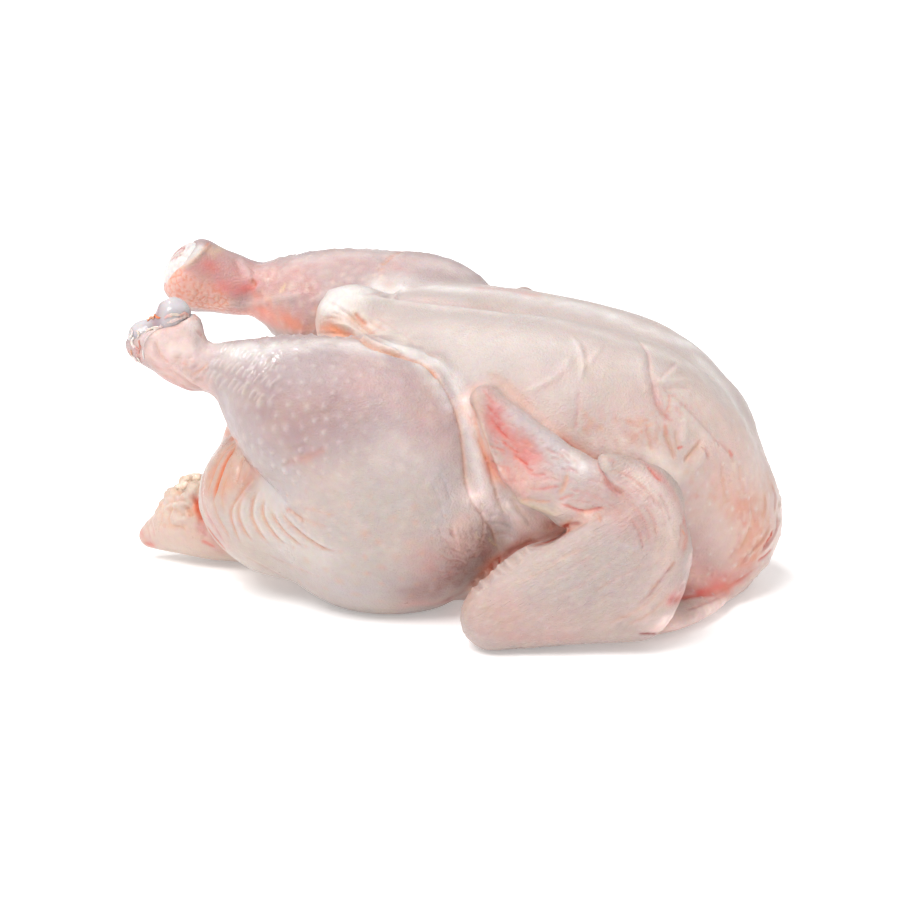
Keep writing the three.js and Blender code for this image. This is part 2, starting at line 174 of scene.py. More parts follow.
def limb(p, rings, side=FAR, steps=6):
    """A round limb along a smooth curve through its rings."""
    curve = smooth_path([on_side(ring, side) for ring in rings], steps)
    distance = round_cone(p, curve[0], curve[1], curve[0][3], curve[1][3])
    for a, b in zip(curve[1:], curve[2:]):
        distance = np.minimum(distance, round_cone(p, a, b, a[3], b[3]))
    return distance


def web(p, corners, thickness, side=FAR):
    """A flat triangle of flesh, thickened all round."""
    a, b, c = (np.array(on_side(corner, side), float) for corner in corners)
    normal = np.cross(b - a, a - c)
    within = True
    edge = np.float32(np.inf)
    for start, end in ((a, b), (b, c), (c, a)):
        span = end - start
        q = from_point(p, start)
        within = within & (along(q, np.cross(span, normal)) >= 0)
        t = np.clip(along(q, span) / np.float32(span @ span), 0, 1)
        gap = [q[i] - t * np.float32(span[i]) for i in range(3)]
        edge = np.minimum(edge, gap[0] ** 2 + gap[1] ** 2 + gap[2] ** 2)
    face = along(from_point(p, a), unit(normal))
    return np.where(within, np.abs(face), np.sqrt(edge)) - thickness


def past_plane(p, point, normal):
    return along(from_point(p, point), unit(normal))


def smooth_step(x, low, high):
    t = np.clip((x - low) / (high - low), 0, 1)
    return t * t * (3 - 2 * t)


# The bird's forms --------------------------------------------------------------------------------

def trunk(p):
    d = blend(limb(p, NEAR_LOBE, NEAR), limb(p, FAR_LOBE, FAR), 4)
    d = blend(d, limb(p, KEEL, FAR, 1), 10)
    d = blend(d, ellipsoid(p, *PROW), 6)
    d = blend(d, limb(p, NECK_BASE, FAR, 1), 10)
    d = blend(d, ellipsoid(p, *BACK), 16)
    d = blend(d, ellipsoid(p, *BELLY), 14)
    return blend(d, ellipsoid(p, *NECK_SKIN), 8)


def tail(p):
    return blend(limb(p, TAIL_STEM), ellipsoid(p, *TAIL_ROOT), 6)


def near_hock(p):
    return cut_back(web(p, SLEEVE, SLEEVE_THICKNESS, NEAR), past_plane(p, RIM_POINT, RIM_NORMAL), 1.5)


def far_cut_centre():
    return np.array(KNUCKLE[0]) + unit(CUT_NORMAL) * CUT_OFFSET


def far_hock(p):
    return cut_back(cone(p, KNUCKLE, KNUCKLE_RADII), past_plane(p, far_cut_centre(), CUT_NORMAL), 2)


def leg(p, side):
    drumstick = limb(p, NEAR_DRUMSTICK if side == NEAR else FAR_DRUMSTICK, side)
    width = KNEE_LOOSE + (KNEE_FULL - KNEE_LOOSE) * smooth_step(p[0], KNEE_FROM, KNEE_TO)
    thigh = blend(drumstick, ellipsoid(p, *THIGH, side), width)
    return blend(thigh, near_hock(p) if side == NEAR else far_hock(p), 3)


def wing_tip(p, side):
    lift = np.array([0, 0, FAR_TIP_LIFT if side == FAR else 0])
    upper = web(p, [TIP_POINT + lift, TIP_LOWER, TIP_UPPER], 5.2, side)
    lower = web(p, [TIP_POINT + lift, TIP_TRAILING + lift / 2, TIP_LOWER], 5.2, side)
    return blend(blend(upper, lower, 2), cone(p, TIP_BONE, (7, 10), side), 8)


def wing(p, side):
    d = web(p, [ELBOW, WRIST, SHOULDER], 13, side)
    d = blend(d, cone(p, FOREARM, (12, 14), side), 8)
    d = blend(d, cone(p, FRONT_EDGE, (14, 14), side), 10)
    d = d + HOLLOW_DEPTH * np.exp(-(cone(p, WING_HOLLOW, (0, 0), side) / HOLLOW_REACH) ** 2)
    d = blend(d, web(p, ARMPIT, 12.5, side), 6)
    d = blend(d, wing_tip(p, side), 2.5)
    return blend(d, cone(p, ALULA, (4.5, 11), side), 2)


def skin_distance(p):
    d = blend(trunk(p), tail(p), 6)
    for side in (NEAR, FAR):
        d = blend(d, blend(ellipsoid(p, *FLANK, side), leg(p, side), 5), 4)
    for side in (NEAR, FAR):
        d = blend(d, wing(p, side), 3)
    return cut_back(d, -p[2], 2)


# Meshing -----------------------------------------------------------------------------------------

# A coarse cell is this many fine cells long.
COARSE = 4
CORNERS = [(i, j, k) for i in (0, 1) for j in (0, 1) for k in (0, 1)]


def grid_points(low, counts, cell):
    axes = [low[i] + cell * np.arange(counts[i], dtype=np.float32) for i in range(3)]
    return [g.ravel() for g in np.meshgrid(*axes, indexing="ij")]


def sample(distance, low, high, cell):
    """The distance on a grid: exact near the surface, and a coarser one spread out elsewhere."""
    blocks = [math.ceil((high[i] - low[i]) / (cell * COARSE)) for i in range(3)]
    coarse_counts = [n + 1 for n in blocks]
    coarse = distance(grid_points(low, coarse_counts, cell * COARSE)).reshape(coarse_counts)
    corners = np.stack([coarse[i:i + blocks[0], j:j + blocks[1], k:k + blocks[2]] for i, j, k in CORNERS])
    reach = 0.75 * math.sqrt(3) * cell * COARSE
    close = (np.abs(corners).min(0) < reach) | (corners.min(0) * corners.max(0) < 0)
    counts = [n * COARSE + 1 for n in blocks]
    values = np.pad(corners[0], ((0, 1),) * 3, mode="edge")
    wanted = np.pad(close, ((0, 1),) * 3, mode="edge")
    for axis in range(3):
        values = np.repeat(values, COARSE, axis)
        wanted = np.repeat(wanted, COARSE, axis)
    values = values[:counts[0], :counts[1], :counts[2]].copy()
    wanted = wanted[:counts[0], :counts[1], :counts[2]].copy()
    for axis in range(3):
        wanted |= np.roll(wanted, 1, axis)
    places = np.argwhere(wanted)
    points = [low[i] + np.float32(cell) * places[:, i].astype(np.float32) for i in range(3)]
    values[wanted] = distance(points)
    return values


def surface_net(values, low, cell):
    """One point in each cell that the surface crosses, and a square round each crossed edge."""
    inside = values < 0
    cells = [n - 1 for n in values.shape]
    shifted = (inside[i:i + cells[0], j:j + cells[1], k:k + cells[2]] for i, j, k in CORNERS)
    filled = sum(corner.astype(np.uint8) for corner in shifted)
    places = np.argwhere((filled > 0) & (filled < 8))
    number = np.full(cells, -1, np.int32)
    number[tuple(places.T)] = np.arange(len(places))
    total = np.zeros((len(places), 3))
    crossings = np.zeros(len(places))
    for corner in CORNERS:
        for axis in range(3):
            if corner[axis]:
                continue
            step = np.eye(3, dtype=int)[axis]
            start = values[tuple((places + corner).T)]
            end = values[tuple((places + corner + step).T)]
            crossed = (start < 0) != (end < 0)
            t = np.where(crossed, start / np.where(crossed, start - end, 1), 0)
            total += np.where(crossed[:, None], np.array(corner) + t[:, None] * step, 0)
            crossings += crossed
    points = np.array(low) + cell * (places + total / crossings[:, None])
    return points, np.concatenate([crossed_squares(inside, number, axis) for axis in range(3)])


def crossed_squares(inside, number, axis):
    here = np.take(inside, range(inside.shape[axis] - 1), axis)
    there = np.take(inside, range(1, inside.shape[axis]), axis)
    edges = np.argwhere(here != there)
    u, v = np.eye(3, dtype=int)[(axis + 1) % 3], np.eye(3, dtype=int)[(axis + 2) % 3]
    around = [number[tuple((edges - s * u - t * v).T)] for s, t in ((0, 0), (1, 0), (1, 1), (0, 1))]
    squares = np.stack(around, 1)
    outward = here[tuple(edges.T)]
    squares[~outward] = squares[~outward][:, ::-1]
    return squares


def triangles_of(squares, points):
    """Two triangles for each square, split along its shorter diagonal."""
    a, b, c, d = squares.T
    first = np.linalg.norm(points[a] - points[c], axis=1) <= np.linalg.norm(points[b] - points[d], axis=1)
    one = np.where(first[:, None], np.stack([a, b, c], 1), np.stack([a, b, d], 1))
    two = np.where(first[:, None], np.stack([a, c, d], 1), np.stack([b, c, d], 1))
    return np.concatenate([one, two])


def mesh_of(distance, low, high, cell):
    points, squares = surface_net(sample(distance, low, high, cell), low, cell)
    return points, triangles_of(squares, points)


def columns(points):
    return [points[:, i].astype(np.float32) for i in range(3)]


def settle(points, distance, rounds, reach=0.3, most=0.5):
    """Moves points onto the surface along the slope of the distance."""
    for _ in range(rounds):
        slope = np.zeros_like(points)
        for axis in range(3):
            step = np.eye(3)[axis] * reach
            rise = distance(columns(points + step)) - distance(columns(points - step))
            slope[:, axis] = rise / (2 * reach)
        steep = np.maximum((slope ** 2).sum(1), 0.5)
        move = np.clip(distance(columns(points)) / steep, -most, most)
        points = points - slope * move[:, None]
    return points


def edges_of(faces):
    pairs = np.sort(np.concatenate([faces[:, [0, 1]], faces[:, [1, 2]], faces[:, [2, 0]]]), axis=1)
    return np.unique(pairs, axis=0, return_inverse=True)


def relax(points, faces, rounds, share=0.5):
    """Evens out the points: each goes part of the way to the middle of its neighbours."""
    pairs, _ = edges_of(faces)
    count = np.bincount(pairs.ravel(), minlength=len(points))[:, None]
    for _ in range(rounds):
        total = np.zeros_like(points)
        for axis in range(3):
            total[:, axis] = np.bincount(pairs[:, 0], points[pairs[:, 1], axis], len(points))
            total[:, axis] += np.bincount(pairs[:, 1], points[pairs[:, 0], axis], len(points))
        points = points + share * (total / count - points)
    return points


def normals_of(points, faces):
    a, b, c = (points[faces[:, i]] for i in range(3))
    flat = np.cross(b - a, c - a)
    normals = np.zeros_like(points)
    for axis in range(3):
        for corner in range(3):
            normals[:, axis] += np.bincount(faces[:, corner], flat[:, axis], len(points))
    return normals / np.maximum(np.linalg.norm(normals, axis=1), 1e-12)[:, None]


def refine(points, faces, chosen):
    """Splits the chosen triangles in four, and their neighbours so that no gap is left."""
    pairs, which = edges_of(faces)
    which = which.reshape(3, -1).T
    split = np.zeros(len(pairs), bool)
    split[which[chosen].ravel()] = True
    middle = np.full(len(pairs), -1)
    middle[split] = len(points) + np.arange(split.sum())
    points = np.vstack([points, points[pairs[split]].mean(1)])
    cut = split[which]
    out = [faces[cut.sum(1) == 0]]
    whole = cut.sum(1) == 3
    (a, b, c), (ab, bc, ca) = faces[whole].T, middle[which[whole]].T
    out += [np.stack(t, 1) for t in ((a, ab, ca), (ab, b, bc), (ca, bc, c), (ab, bc, ca))]
    for first in range(3):
        order = [first, (first + 1) % 3, (first + 2) % 3]
        one = (cut.sum(1) == 1) & cut[:, first]
        (a, b, c), m = faces[one][:, order].T, middle[which[one, first]]
        out += [np.stack([a, m, c], 1), np.stack([m, b, c], 1)]
        two = (cut.sum(1) == 2) & ~cut[:, first]
        (a, b, c), rest = faces[two][:, order].T, middle[which[two][:, order]].T
        out += [np.stack(t, 1) for t in ((a, b, rest[1]), (a, rest[1], rest[2]), (rest[1], c, rest[2]))]
    return points, np.concatenate(out)


def placed(name, data):
    thing = bpy.data.objects.new(name, data)
    bpy.context.scene.collection.objects.link(thing)
    return thing


def mesh_object(name, points, faces, attributes=()):
    """A smooth mesh object in metres from points in millimetres."""
    mesh = bpy.data.meshes.new(name)
    mesh.vertices.add(len(points))
    mesh.vertices.foreach_set("co", (points * MM).astype(np.float32).ravel())
    mesh.loops.add(len(faces) * 3)
    mesh.loops.foreach_set("vertex_index", faces.astype(np.int32).ravel())
    mesh.polygons.add(len(faces))
    mesh.polygons.foreach_set("loop_start", np.arange(0, len(faces) * 3, 3, dtype=np.int32))
    mesh.update(calc_edges=True)
    mesh.shade_smooth()
    for label, values in attributes:
        if values.ndim == 2:
            layer = mesh.attributes.new(label, "FLOAT_COLOR", "POINT")
            rgba = np.ones((len(values), 4), np.float32)
            rgba[:, :3] = values
            layer.data.foreach_set("color", rgba.ravel())
        else:
            layer = mesh.attributes.new(label, "FLOAT", "POINT")
            layer.data.foreach_set("value", values.astype(np.float32))
    return placed(name, mesh)


def tree_over(points, faces):
    return BVHTree.FromPolygons([Vector(p) for p in points], faces.tolist())


def small_surface(distance, centre, reach, cell=SMALL_CELL):
    low = [c - reach for c in centre]
    high = [c + reach for c in centre]
    points, faces = mesh_of(distance, low, high, cell)
    return relax(settle(points, distance, 1), faces, 2), faces


# Noise -------------------------------------------------------------------------------------------

LATTICE = 32


def noise(points, size, seed):
    """Smooth noise from -1 to 1 whose lumps are about size across."""
    table = np.random.default_rng(seed).uniform(-1, 1, (LATTICE, LATTICE, LATTICE))
    q = points / size + 100
    low = np.floor(q).astype(int)
    t = q - low
    t = t * t * (3 - 2 * t)
    total = 0
    for corner in CORNERS:
        at = (low + corner) % LATTICE
        share = np.prod(np.where(corner, t, 1 - t), axis=1)
        total = total + share * table[at[:, 0], at[:, 1], at[:, 2]]
    return total


# Camera ------------------------------------------------------------------------------------------

def direction_to(azimuth, elevation):
    """Outwards from the bird; the azimuth counts in degrees from the near side to the right."""
    a, e = math.radians(azimuth), math.radians(elevation)
    return Vector((math.sin(a) * math.cos(e), -math.cos(a) * math.cos(e), math.sin(e)))


def view_axes():
    back = direction_to(VIEW_AZIMUTH, VIEW_ELEVATION)
    right = Vector((math.cos(math.radians(VIEW_AZIMUTH)), math.sin(math.radians(VIEW_AZIMUTH)), 0))
    return right, back.cross(right), back


def view_ray(x, y):
    """The start and direction of the ray through a pixel, in millimetres."""
    right, up, back = view_axes()
    per_pixel = SENSOR / LENS / max(VIEW_WIDTH, VIEW_HEIGHT)
    direction = right * (x - VIEW_WIDTH / 2) * per_pixel - up * (y - VIEW_HEIGHT / 2) * per_pixel - back
    return (Vector(VIEW_TARGET) + back * VIEW_DISTANCE) / MM, direction.normalized()


def make_camera():
    data = bpy.data.cameras.new("camera")
    data.lens = LENS
    data.sensor_width = SENSOR
    camera = placed("camera", data)
    _, _, back = view_axes()
    camera.location = Vector(VIEW_TARGET) + back * VIEW_DISTANCE
    camera.rotation_euler = back.to_track_quat("Z", "Y").to_euler()
    bpy.context.scene.camera = camera


# Tracks on the skin ------------------------------------------------------------------------------

# A mark is drawn along a track, a list of pixels of the view. Its width and height are in millimetres.
Mark = namedtuple("Mark", "kind track width height tint strength wet")
Laid = namedtuple("Laid", "mark places normals side")
PIXELS_PER_MM = 2.54
# The steps along a track: the least, in pixels, and otherwise a share of the mark's width.
TRACK_STEP, STEP_SHARE = 1.5, 0.4
# The share of a crease's length over which it fades out at each end, and how narrow it gets there.
FADE, NARROWEST = 0.22, 0.35
# A groove's profile: how fast it falls off, how round its bottom is, and how wide its stain, in widths.
GROOVE_FALL, GROOVE_ROUND, GROOVE_STAIN = 1.7, 0.25, 1.05
# How far a mark of each kind reaches, in widths, and how much stronger than asked it is tinted.
REACH = {"groove": 3.2, "ridge": 2.4, "fold": 4.0, "wash": 2.4}
STAIN = {"groove": 1.3, "ridge": 1.0, "fold": 1.3, "wash": 1.0}


def groove(track, width, depth, tint=None, strength=0.0):
    """A crease with rounded shoulders."""
    return Mark("groove", track, width, -depth, tint, strength, 0)


def ridge(track, width, height, tint=None, strength=0.0):
    return Mark("ridge", track, width, height, tint, strength, 0)


def fold(track, width, height, tint=None, strength=0.0):
    """A lip of skin: the left of the track stands up over its right."""
    return Mark("fold", track, width, height, tint, strength, 0)


def wash(track, width, tint, strength, wet=0.0):
    """A soft stroke of colour, and of wetness where it has any."""
    return Mark("wash", track, width, 0, tint, strength, wet)


def moved(track, dx, dy):
    return [(x + dx, y + dy) for x, y in track]


def halfway(first, second, count=8):
    """A track that runs in the middle between two others."""
    evenly = [np.array([track[0]] + smooth_path(track, 6)) for track in (first, second)]
    first, second = ([at[round(i)] for i in np.linspace(0, len(at) - 1, count)] for at in evenly)
    return [tuple((a + b) / 2) for a, b in zip(first, second)]


def stroke(start, angle, length, bend=0.0):
    """A short curved track; the angle is in degrees, downwards to the right."""
    a = math.radians(angle)
    ahead = np.array([math.cos(a), math.sin(a)]) * length
    across = np.array([-math.sin(a), math.cos(a)]) * bend
    return [tuple(start), tuple(start + ahead / 2 + across), tuple(start + ahead)]


def far_lift(point):
    """How much higher the far leg and wing tip lie than the near ones at a place."""
    shin = FAR_SHIN_LIFT * float(smooth_step(-point.x, 30, 90)) * float(smooth_step(point.z, 60, 95))
    tip = FAR_TIP_LIFT * float(smooth_step(-point.x, -50, -20)) * float(smooth_step(-point.y, 56, 62))
    return shin + tip


def trace(tree, mark, mirrored):
    """The places and normals of the skin along a mark's track."""
    step = max(TRACK_STEP, STEP_SHARE * mark.width * PIXELS_PER_MM)
    gap = max(math.dist(a, b) for a, b in zip(mark.track, mark.track[1:]))
    stations = smooth_path(mark.track, max(1, math.ceil(gap / step)))
    hits = [tree.ray_cast(*view_ray(*pixel)) for pixel in stations]
    hits = [hit[:2] for hit in hits if hit[0] is not None]
    if mirrored:
        hits = [tree.find_nearest((p.x, -p.y, p.z + far_lift(p)))[:2] for p, _ in hits]
    return hits


def lay(tree, marks, mirrored=False):
    """Puts marks on the skin where the camera sees their tracks, or on the other side of the bird."""
    laid = []
    for mark in marks:
        hits = trace(tree, mark, mirrored)
        if len(hits) > 1:
            places, normals = (np.array([hit[i] for hit in hits]) for i in (0, 1))
            laid.append(Laid(mark, places, normals, -1 if mirrored else 1))
    return laid


def nearest_on(points, laid, reach):
    """The points within reach of a path, the number of the nearest place on it, and the gap to that."""
    box = ((points > laid.places.min(0) - reach) & (points < laid.places.max(0) + reach)).all(1)
    chosen = np.nonzero(box)[0]
    gaps = np.linalg.norm(points[chosen][:, None] - laid.places[None], axis=2)
    closest = gaps.argmin(1)
    gap = gaps[np.arange(len(chosen)), closest]
    near = gap < reach
    return chosen[near], closest[near], gap[near]


def share_of_way(points, laid):
    """How far along a path each point lies, from 0 at its start to 1 at its end."""
    squares = ((points[:, None] - laid.places[None]) ** 2).sum(2)
    spacing = np.linalg.norm(np.diff(laid.places, axis=0), axis=1).mean()
    pull = np.exp(-(squares - squares.min(1)[:, None]) / spacing ** 2)
    return pull @ np.linspace(0, 1, len(laid.places)) / pull.sum(1)


def lip(skin, laid, chosen, closest, d):
    """The profile of a fold, and how strongly the crease beside it is tinted."""
    ahead = np.gradient(laid.places, axis=0)
    left = np.cross(laid.normals, ahead) * laid.side
    left /= np.maximum(np.linalg.norm(left, axis=1), 1e-9)[:, None]
    offset = skin["points"][chosen] - laid.places[closest]
    across = (offset * left[closest]).sum(1) / laid.mark.width
    raised = smooth_step(across, -0.3, 0.35) * np.exp(-np.maximum(across, 0) / 1.7)
    crease = np.exp(-((across + 0.3) / 0.5) ** 2)
    beyond = np.exp(-np.maximum(d - 1.6, 0) ** 2)
    return (raised - 0.4 * crease) * beyond, np.exp(-((across + 0.3) / 0.7) ** 2) * beyond


def apply_mark(skin, laid):
    """Adds a mark's relief, tint and wetness to the skin."""
    mark = laid.mark
    chosen, closest, gap = nearest_on(skin["points"], laid, REACH[mark.kind] * mark.width)
    if not len(chosen):
        return
    d = gap / mark.width
    facing = (skin["normals"][chosen] * laid.normals[closest]).sum(1)
    share = smooth_step(facing, -0.1, 0.35)
    if mark.kind != "wash":
        t = share_of_way(skin["points"][chosen], laid)
        taper = smooth_step(np.minimum(t, 1 - t), -0.03, FADE)
        d = d / (NARROWEST + (1 - NARROWEST) * taper)
        share = share * taper
    if mark.kind == "fold":
        profile, stain = lip(skin, laid, chosen, closest, d)
    elif mark.kind == "groove":
        profile = np.exp(GROOVE_FALL * (GROOVE_ROUND - np.sqrt(d * d + GROOVE_ROUND ** 2)))
        stain = np.exp(-(d / GROOVE_STAIN) ** 2)
    else:
        profile = stain = np.exp(-d * d)
    if mark.kind == "wash":
        share = share * skin["mottle"][chosen]
    skin["height"][chosen] += mark.height * profile * share
    skin["wet"][chosen] += mark.wet * profile * share
    if mark.tint is not None:
        amount = np.clip(STAIN[mark.kind] * mark.strength * stain * share, 0, 1)[:, None]
        skin["tint"][chosen] += amount * (np.array(mark.tint) - skin["tint"][chosen])


# Palette, linear ---------------------------------------------------------------------------------

BREAST = (0.48, 0.405, 0.38)
BREAST_LOW = (0.63, 0.455, 0.405)
CREAM = (0.60, 0.50, 0.44)
WHITE = (0.63, 0.57, 0.54)
THIGH_SKIN = (0.42, 0.355, 0.33)
CALF = (0.37, 0.285, 0.285)
BLUISH = (0.42, 0.37, 0.38)
ROSY = (0.32, 0.205, 0.20)
FLANK_SKIN = (0.44, 0.368, 0.33)
WING_SKIN = (0.405, 0.315, 0.29)
TAIL_SKIN = (0.52, 0.405, 0.345)
NECK_PINK = (0.62, 0.35, 0.29)
MAUVE = (0.56, 0.36, 0.34)
PINK = (0.55, 0.32, 0.29)
ROSE = (0.50, 0.235, 0.215)
ORANGE = (0.56, 0.27, 0.17)
DEEP_ORANGE = (0.60, 0.17, 0.07)
YELLOW = (0.64, 0.49, 0.29)
RED = (0.56, 0.085, 0.06)
# The flesh's dark red in the deepest creases and slots, with painted shade in it.
DARK_RED_AND_SHADE = (0.22, 0.03, 0.022)
FAR_PINK = (0.58, 0.34, 0.32)
# A pale tint: the skin's own pallor in places, and painted highlight on the calf's top and in the wet
# patches.
PALE_AND_HIGHLIGHT = (0.70, 0.66, 0.64)
TIP_RED = (0.50, 0.13, 0.115)
# The wing tip's cream edge, with painted light over its shaded side.
TIP_RIM_AND_LIGHT = (0.74, 0.58, 0.49)
SLEEVE_SKIN = (0.59, 0.47, 0.44)
FAT = (0.70, 0.56, 0.45)
FLESH = (0.46, 0.17, 0.13)
# Crevice colours: orange painted light, as if glowing through the flesh, and dark red painted shade for the
# deepest.
CREVICE_PAINTED_GLOW = (0.78, 0.36, 0.25)
DEEPEST_PAINTED_SHADE = (0.40, 0.06, 0.035)
# Near-white pink painted on the neck flap as light over its shaded side.
FLAP_PAINTED_LIGHT = (0.95, 0.74, 0.69)
BREAST_SHADE = (0.44, 0.365, 0.34)
# Pale cream painted as light on the lower breast by the shoulder.
BREAST_PAINTED_LIGHT = (0.80, 0.67, 0.61)
BREAST_DIP = (0.43, 0.35, 0.33)
BREAST_CROWN = (0.60, 0.52, 0.485)
PROW_CREAM = (0.66, 0.57, 0.50)
# The prow's pale skin with painted light on its top.
PROW_WHITE_AND_LIGHT = (0.76, 0.73, 0.71)
POCKET_ORANGE = (0.80, 0.28, 0.14)
NECK_ORANGE = (0.60, 0.25, 0.18)
NECK_ROSE = (0.60, 0.30, 0.29)
# Pale pink painted as light into the neck's pocket beside the wing.
NECK_PAINTED_LIGHT = (0.80, 0.56, 0.54)
BLOOD = (0.66, 0.06, 0.06)
CALF_SHADE = (0.33, 0.25, 0.25)
THIGH_PALE = (0.55, 0.46, 0.43)
# Bright rosy tint painted as light on the thigh's shaded edge.
THIGH_PAINTED_LIGHT = (0.80, 0.55, 0.50)
THIGH_ROSE = (0.50, 0.29, 0.27)
# The thigh's underside: its rose-brown darkened with painted shade, and a darker painted shadow for the
# crevice by the wing.
THIGH_BROWN_AND_SHADE = (0.27, 0.14, 0.125)
THIGH_EDGE_SHADE = (0.26, 0.05, 0.035)
# Pale pink painted as light on the sleeve's side that faces away from the key lamp.
SLEEVE_PAINTED_LIGHT = (0.80, 0.68, 0.645)
SLEEVE_GLOW = (0.74, 0.57, 0.535)
SLEEVE_PINK = (0.70, 0.48, 0.45)
VENT_ORANGE = (0.46, 0.23, 0.16)
VENT_BROWN = (0.28, 0.12, 0.08)
TAIL_ROSE = (0.44, 0.18, 0.155)
DUSKY_ROSE = (0.58, 0.28, 0.255)
FAR_BROWN = (0.50, 0.24, 0.21)
FAR_RED = (0.66, 0.20, 0.19)
FAR_PALE = (0.64, 0.54, 0.52)
FAR_CORAL = (0.85, 0.33, 0.25)
FAR_ORANGE = (0.72, 0.24, 0.17)
BONE_RIM = (0.62, 0.60, 0.58)
ARMPIT_ORANGE = (0.52, 0.31, 0.25)
ELBOW_PINK = (0.62, 0.44, 0.40)
WING_ROSE = (0.44, 0.25, 0.225)
HAND_PALE = (0.62, 0.49, 0.46)
WING_ORANGE = (0.42, 0.27, 0.225)
WEB_GLOW = (0.92, 0.75, 0.72)
WEB_CREAM = (0.90, 0.80, 0.74)
WEB_CORAL = (0.80, 0.42, 0.36)
WEB_ROSE = (0.50, 0.22, 0.18)
# The slot under the wing tip: dark red with painted shade in it.
SLOT_RED_AND_SHADE = (0.38, 0.07, 0.045)
FLECK = (0.70, 0.55, 0.47)
SCALE_PINK = (0.72, 0.42, 0.35)
SCALE_SEAM = (0.64, 0.23, 0.15)
GRISTLE = (0.42, 0.375, 0.39)
# Paler gristle painted as light on the knobs' upward sides, and mauve painted as shade in the saddle between
# them.
GRISTLE_PAINTED_LIGHT = (0.66, 0.64, 0.66)
SADDLE_PAINTED_SHADE = (0.33, 0.22, 0.24)
BONE = (0.64, 0.60, 0.585)
MARROW = (0.42, 0.17, 0.155)


# Marks: track, width and height in millimetres, tint and its strength ------------------------------

BREAST_ZONES = [
    wash([(520, 372), (580, 380), (640, 385), (690, 392)], 11, BREAST_SHADE, 0.55),
    wash([(520, 400), (560, 430), (610, 445)], 11, BREAST_LOW, 0.75),
    wash([(640, 430), (690, 440), (730, 450)], 12, BREAST_LOW, 0.65),
    wash([(700, 400), (735, 430), (755, 480)], 12, BREAST_LOW, 0.6),
    wash([(715, 480), (740, 510), (755, 535)], 9, NECK_PINK, 0.6),
    wash([(570, 380), (620, 385)], 12, PINK, 0.12),
    # Painted light on the lower breast by the shoulder.
    wash([(598, 445), (625, 448), (650, 455), (672, 472)], 4.5, BREAST_PAINTED_LIGHT, 0.8),
    wash([(500, 376), (530, 391), (560, 404), (590, 412)], 7, BREAST_DIP, 0.6),
    wash([(430, 325), (480, 335), (560, 345), (640, 368), (700, 398)], 8, BREAST_CROWN, 0.5),
    wash([(392, 345), (410, 354), (425, 366)], 4, PALE_AND_HIGHLIGHT, 0.7),
    wash([(700, 362), (725, 388), (745, 420)], 4, PALE_AND_HIGHLIGHT, 0.6),
    # Painted highlight along the near lobe's crest, and painted shade in the mauve trough just above it.
    wash([(360, 299), (416, 302), (487, 312), (560, 323), (640, 345), (700, 370)], 3.4, WHITE, 0.55),
    wash([(385, 299), (440, 303), (480, 308), (560, 316), (620, 326)], 1.6, MAUVE, 0.15),
    # The prow's top: its pale skin with painted light on it.
    wash([(322, 308), (345, 292), (375, 290), (400, 289)], 7, PALE_AND_HIGHLIGHT, 0.85),
    wash([(345, 312), (380, 330), (420, 346)], 6, PROW_CREAM, 0.7),
    wash([(430, 288), (500, 293), (600, 312), (690, 345)], 5, PALE_AND_HIGHLIGHT, 0.75),
    wash([(480, 289), (505, 290), (535, 296)], 3, ROSE, 0.5),
]
PROW_MARKS = [
    ridge([(352, 296), (370, 299), (400, 302), (440, 308), (487, 313), (530, 319)], 2.0, 0.8, WHITE, 0.4),
    # The trough above the crest, cut in, with a little mauve painted as shade.
    groove([(372, 296), (400, 298), (440, 302), (480, 307), (540, 315)], 2.6, 1.6, MAUVE, 0.2),
    ridge([(390, 302), (395, 296), (400, 290), (403, 281)], 1.0, 0.9, WHITE, 0.4),
    ridge([(402, 290), (407, 287), (413, 285)], 0.8, 0.5, WHITE, 0.3),
    groove([(364, 295), (374, 294), (386, 292)], 0.8, 0.4, PINK, 0.3),
    ridge([(318, 303), (326, 295), (336, 291), (348, 287)], 2.2, 0.9, WHITE, 0.4),
    groove([(324, 299), (330, 303), (336, 306)], 1.0, 0.6, ORANGE, 0.3),
    groove([(333, 303), (340, 309), (349, 315), (356, 321), (365, 328), (373, 334),
            (384, 342)], 1.0, 1.1, ORANGE, 0.55),
    groove([(354, 311), (360, 319), (368, 325)], 0.9, 1.0, DEEP_ORANGE, 0.55),
    groove([(328, 312), (340, 315), (350, 321), (358, 328), (370, 336),
            (386, 345)], 0.9, 0.8, ORANGE, 0.45),
    groove([(322, 318), (334, 318), (345, 321)], 0.8, 0.6, ORANGE, 0.4),
    groove([(368, 319), (378, 326), (388, 333)], 0.8, 0.5, ORANGE, 0.3),
    groove([(376, 316), (388, 324), (400, 333)], 0.8, 0.35, PINK, 0.25),
    ridge([(332, 323), (345, 325), (357, 332), (368, 340), (380, 346), (394, 351),
           (408, 357)], 1.2, 1.2, CREAM, 0.6),
    ridge([(340, 317), (355, 325), (370, 336), (386, 343), (402, 348), (418, 352)], 1.4, 0.8, WHITE, 0.35),
    groove([(318, 330), (328, 327), (338, 331), (348, 334), (358, 338)], 1.4, 0.6, DEEP_ORANGE, 0.5),
    wash([(318, 329), (328, 328), (338, 331)], 2.2, POCKET_ORANGE, 0.8),
    wash([(317, 312), (322, 322), (330, 326)], 2.2, ORANGE, 0.45),
    groove([(356, 338), (366, 344), (376, 349), (388, 352), (400, 356), (412, 360)], 1.1, 1.2, ORANGE, 0.5),
    wash([(315, 312), (318, 322)], 3, ORANGE, 0.35),
    # The prow's top, whiter: its pale skin with painted light on it.
    wash([(326, 300), (335, 307), (344, 311)], 2.6, PROW_WHITE_AND_LIGHT, 0.7),
    groove([(421, 352), (432, 352), (444, 350)], 0.7, 0.35, PINK, 0.2),
    groove([(424, 354), (434, 356), (443, 362)], 0.8, 0.45, ORANGE, 0.25),
    groove([(416, 346), (408, 338), (400, 332)], 0.7, 0.3, PINK, 0.2),
]
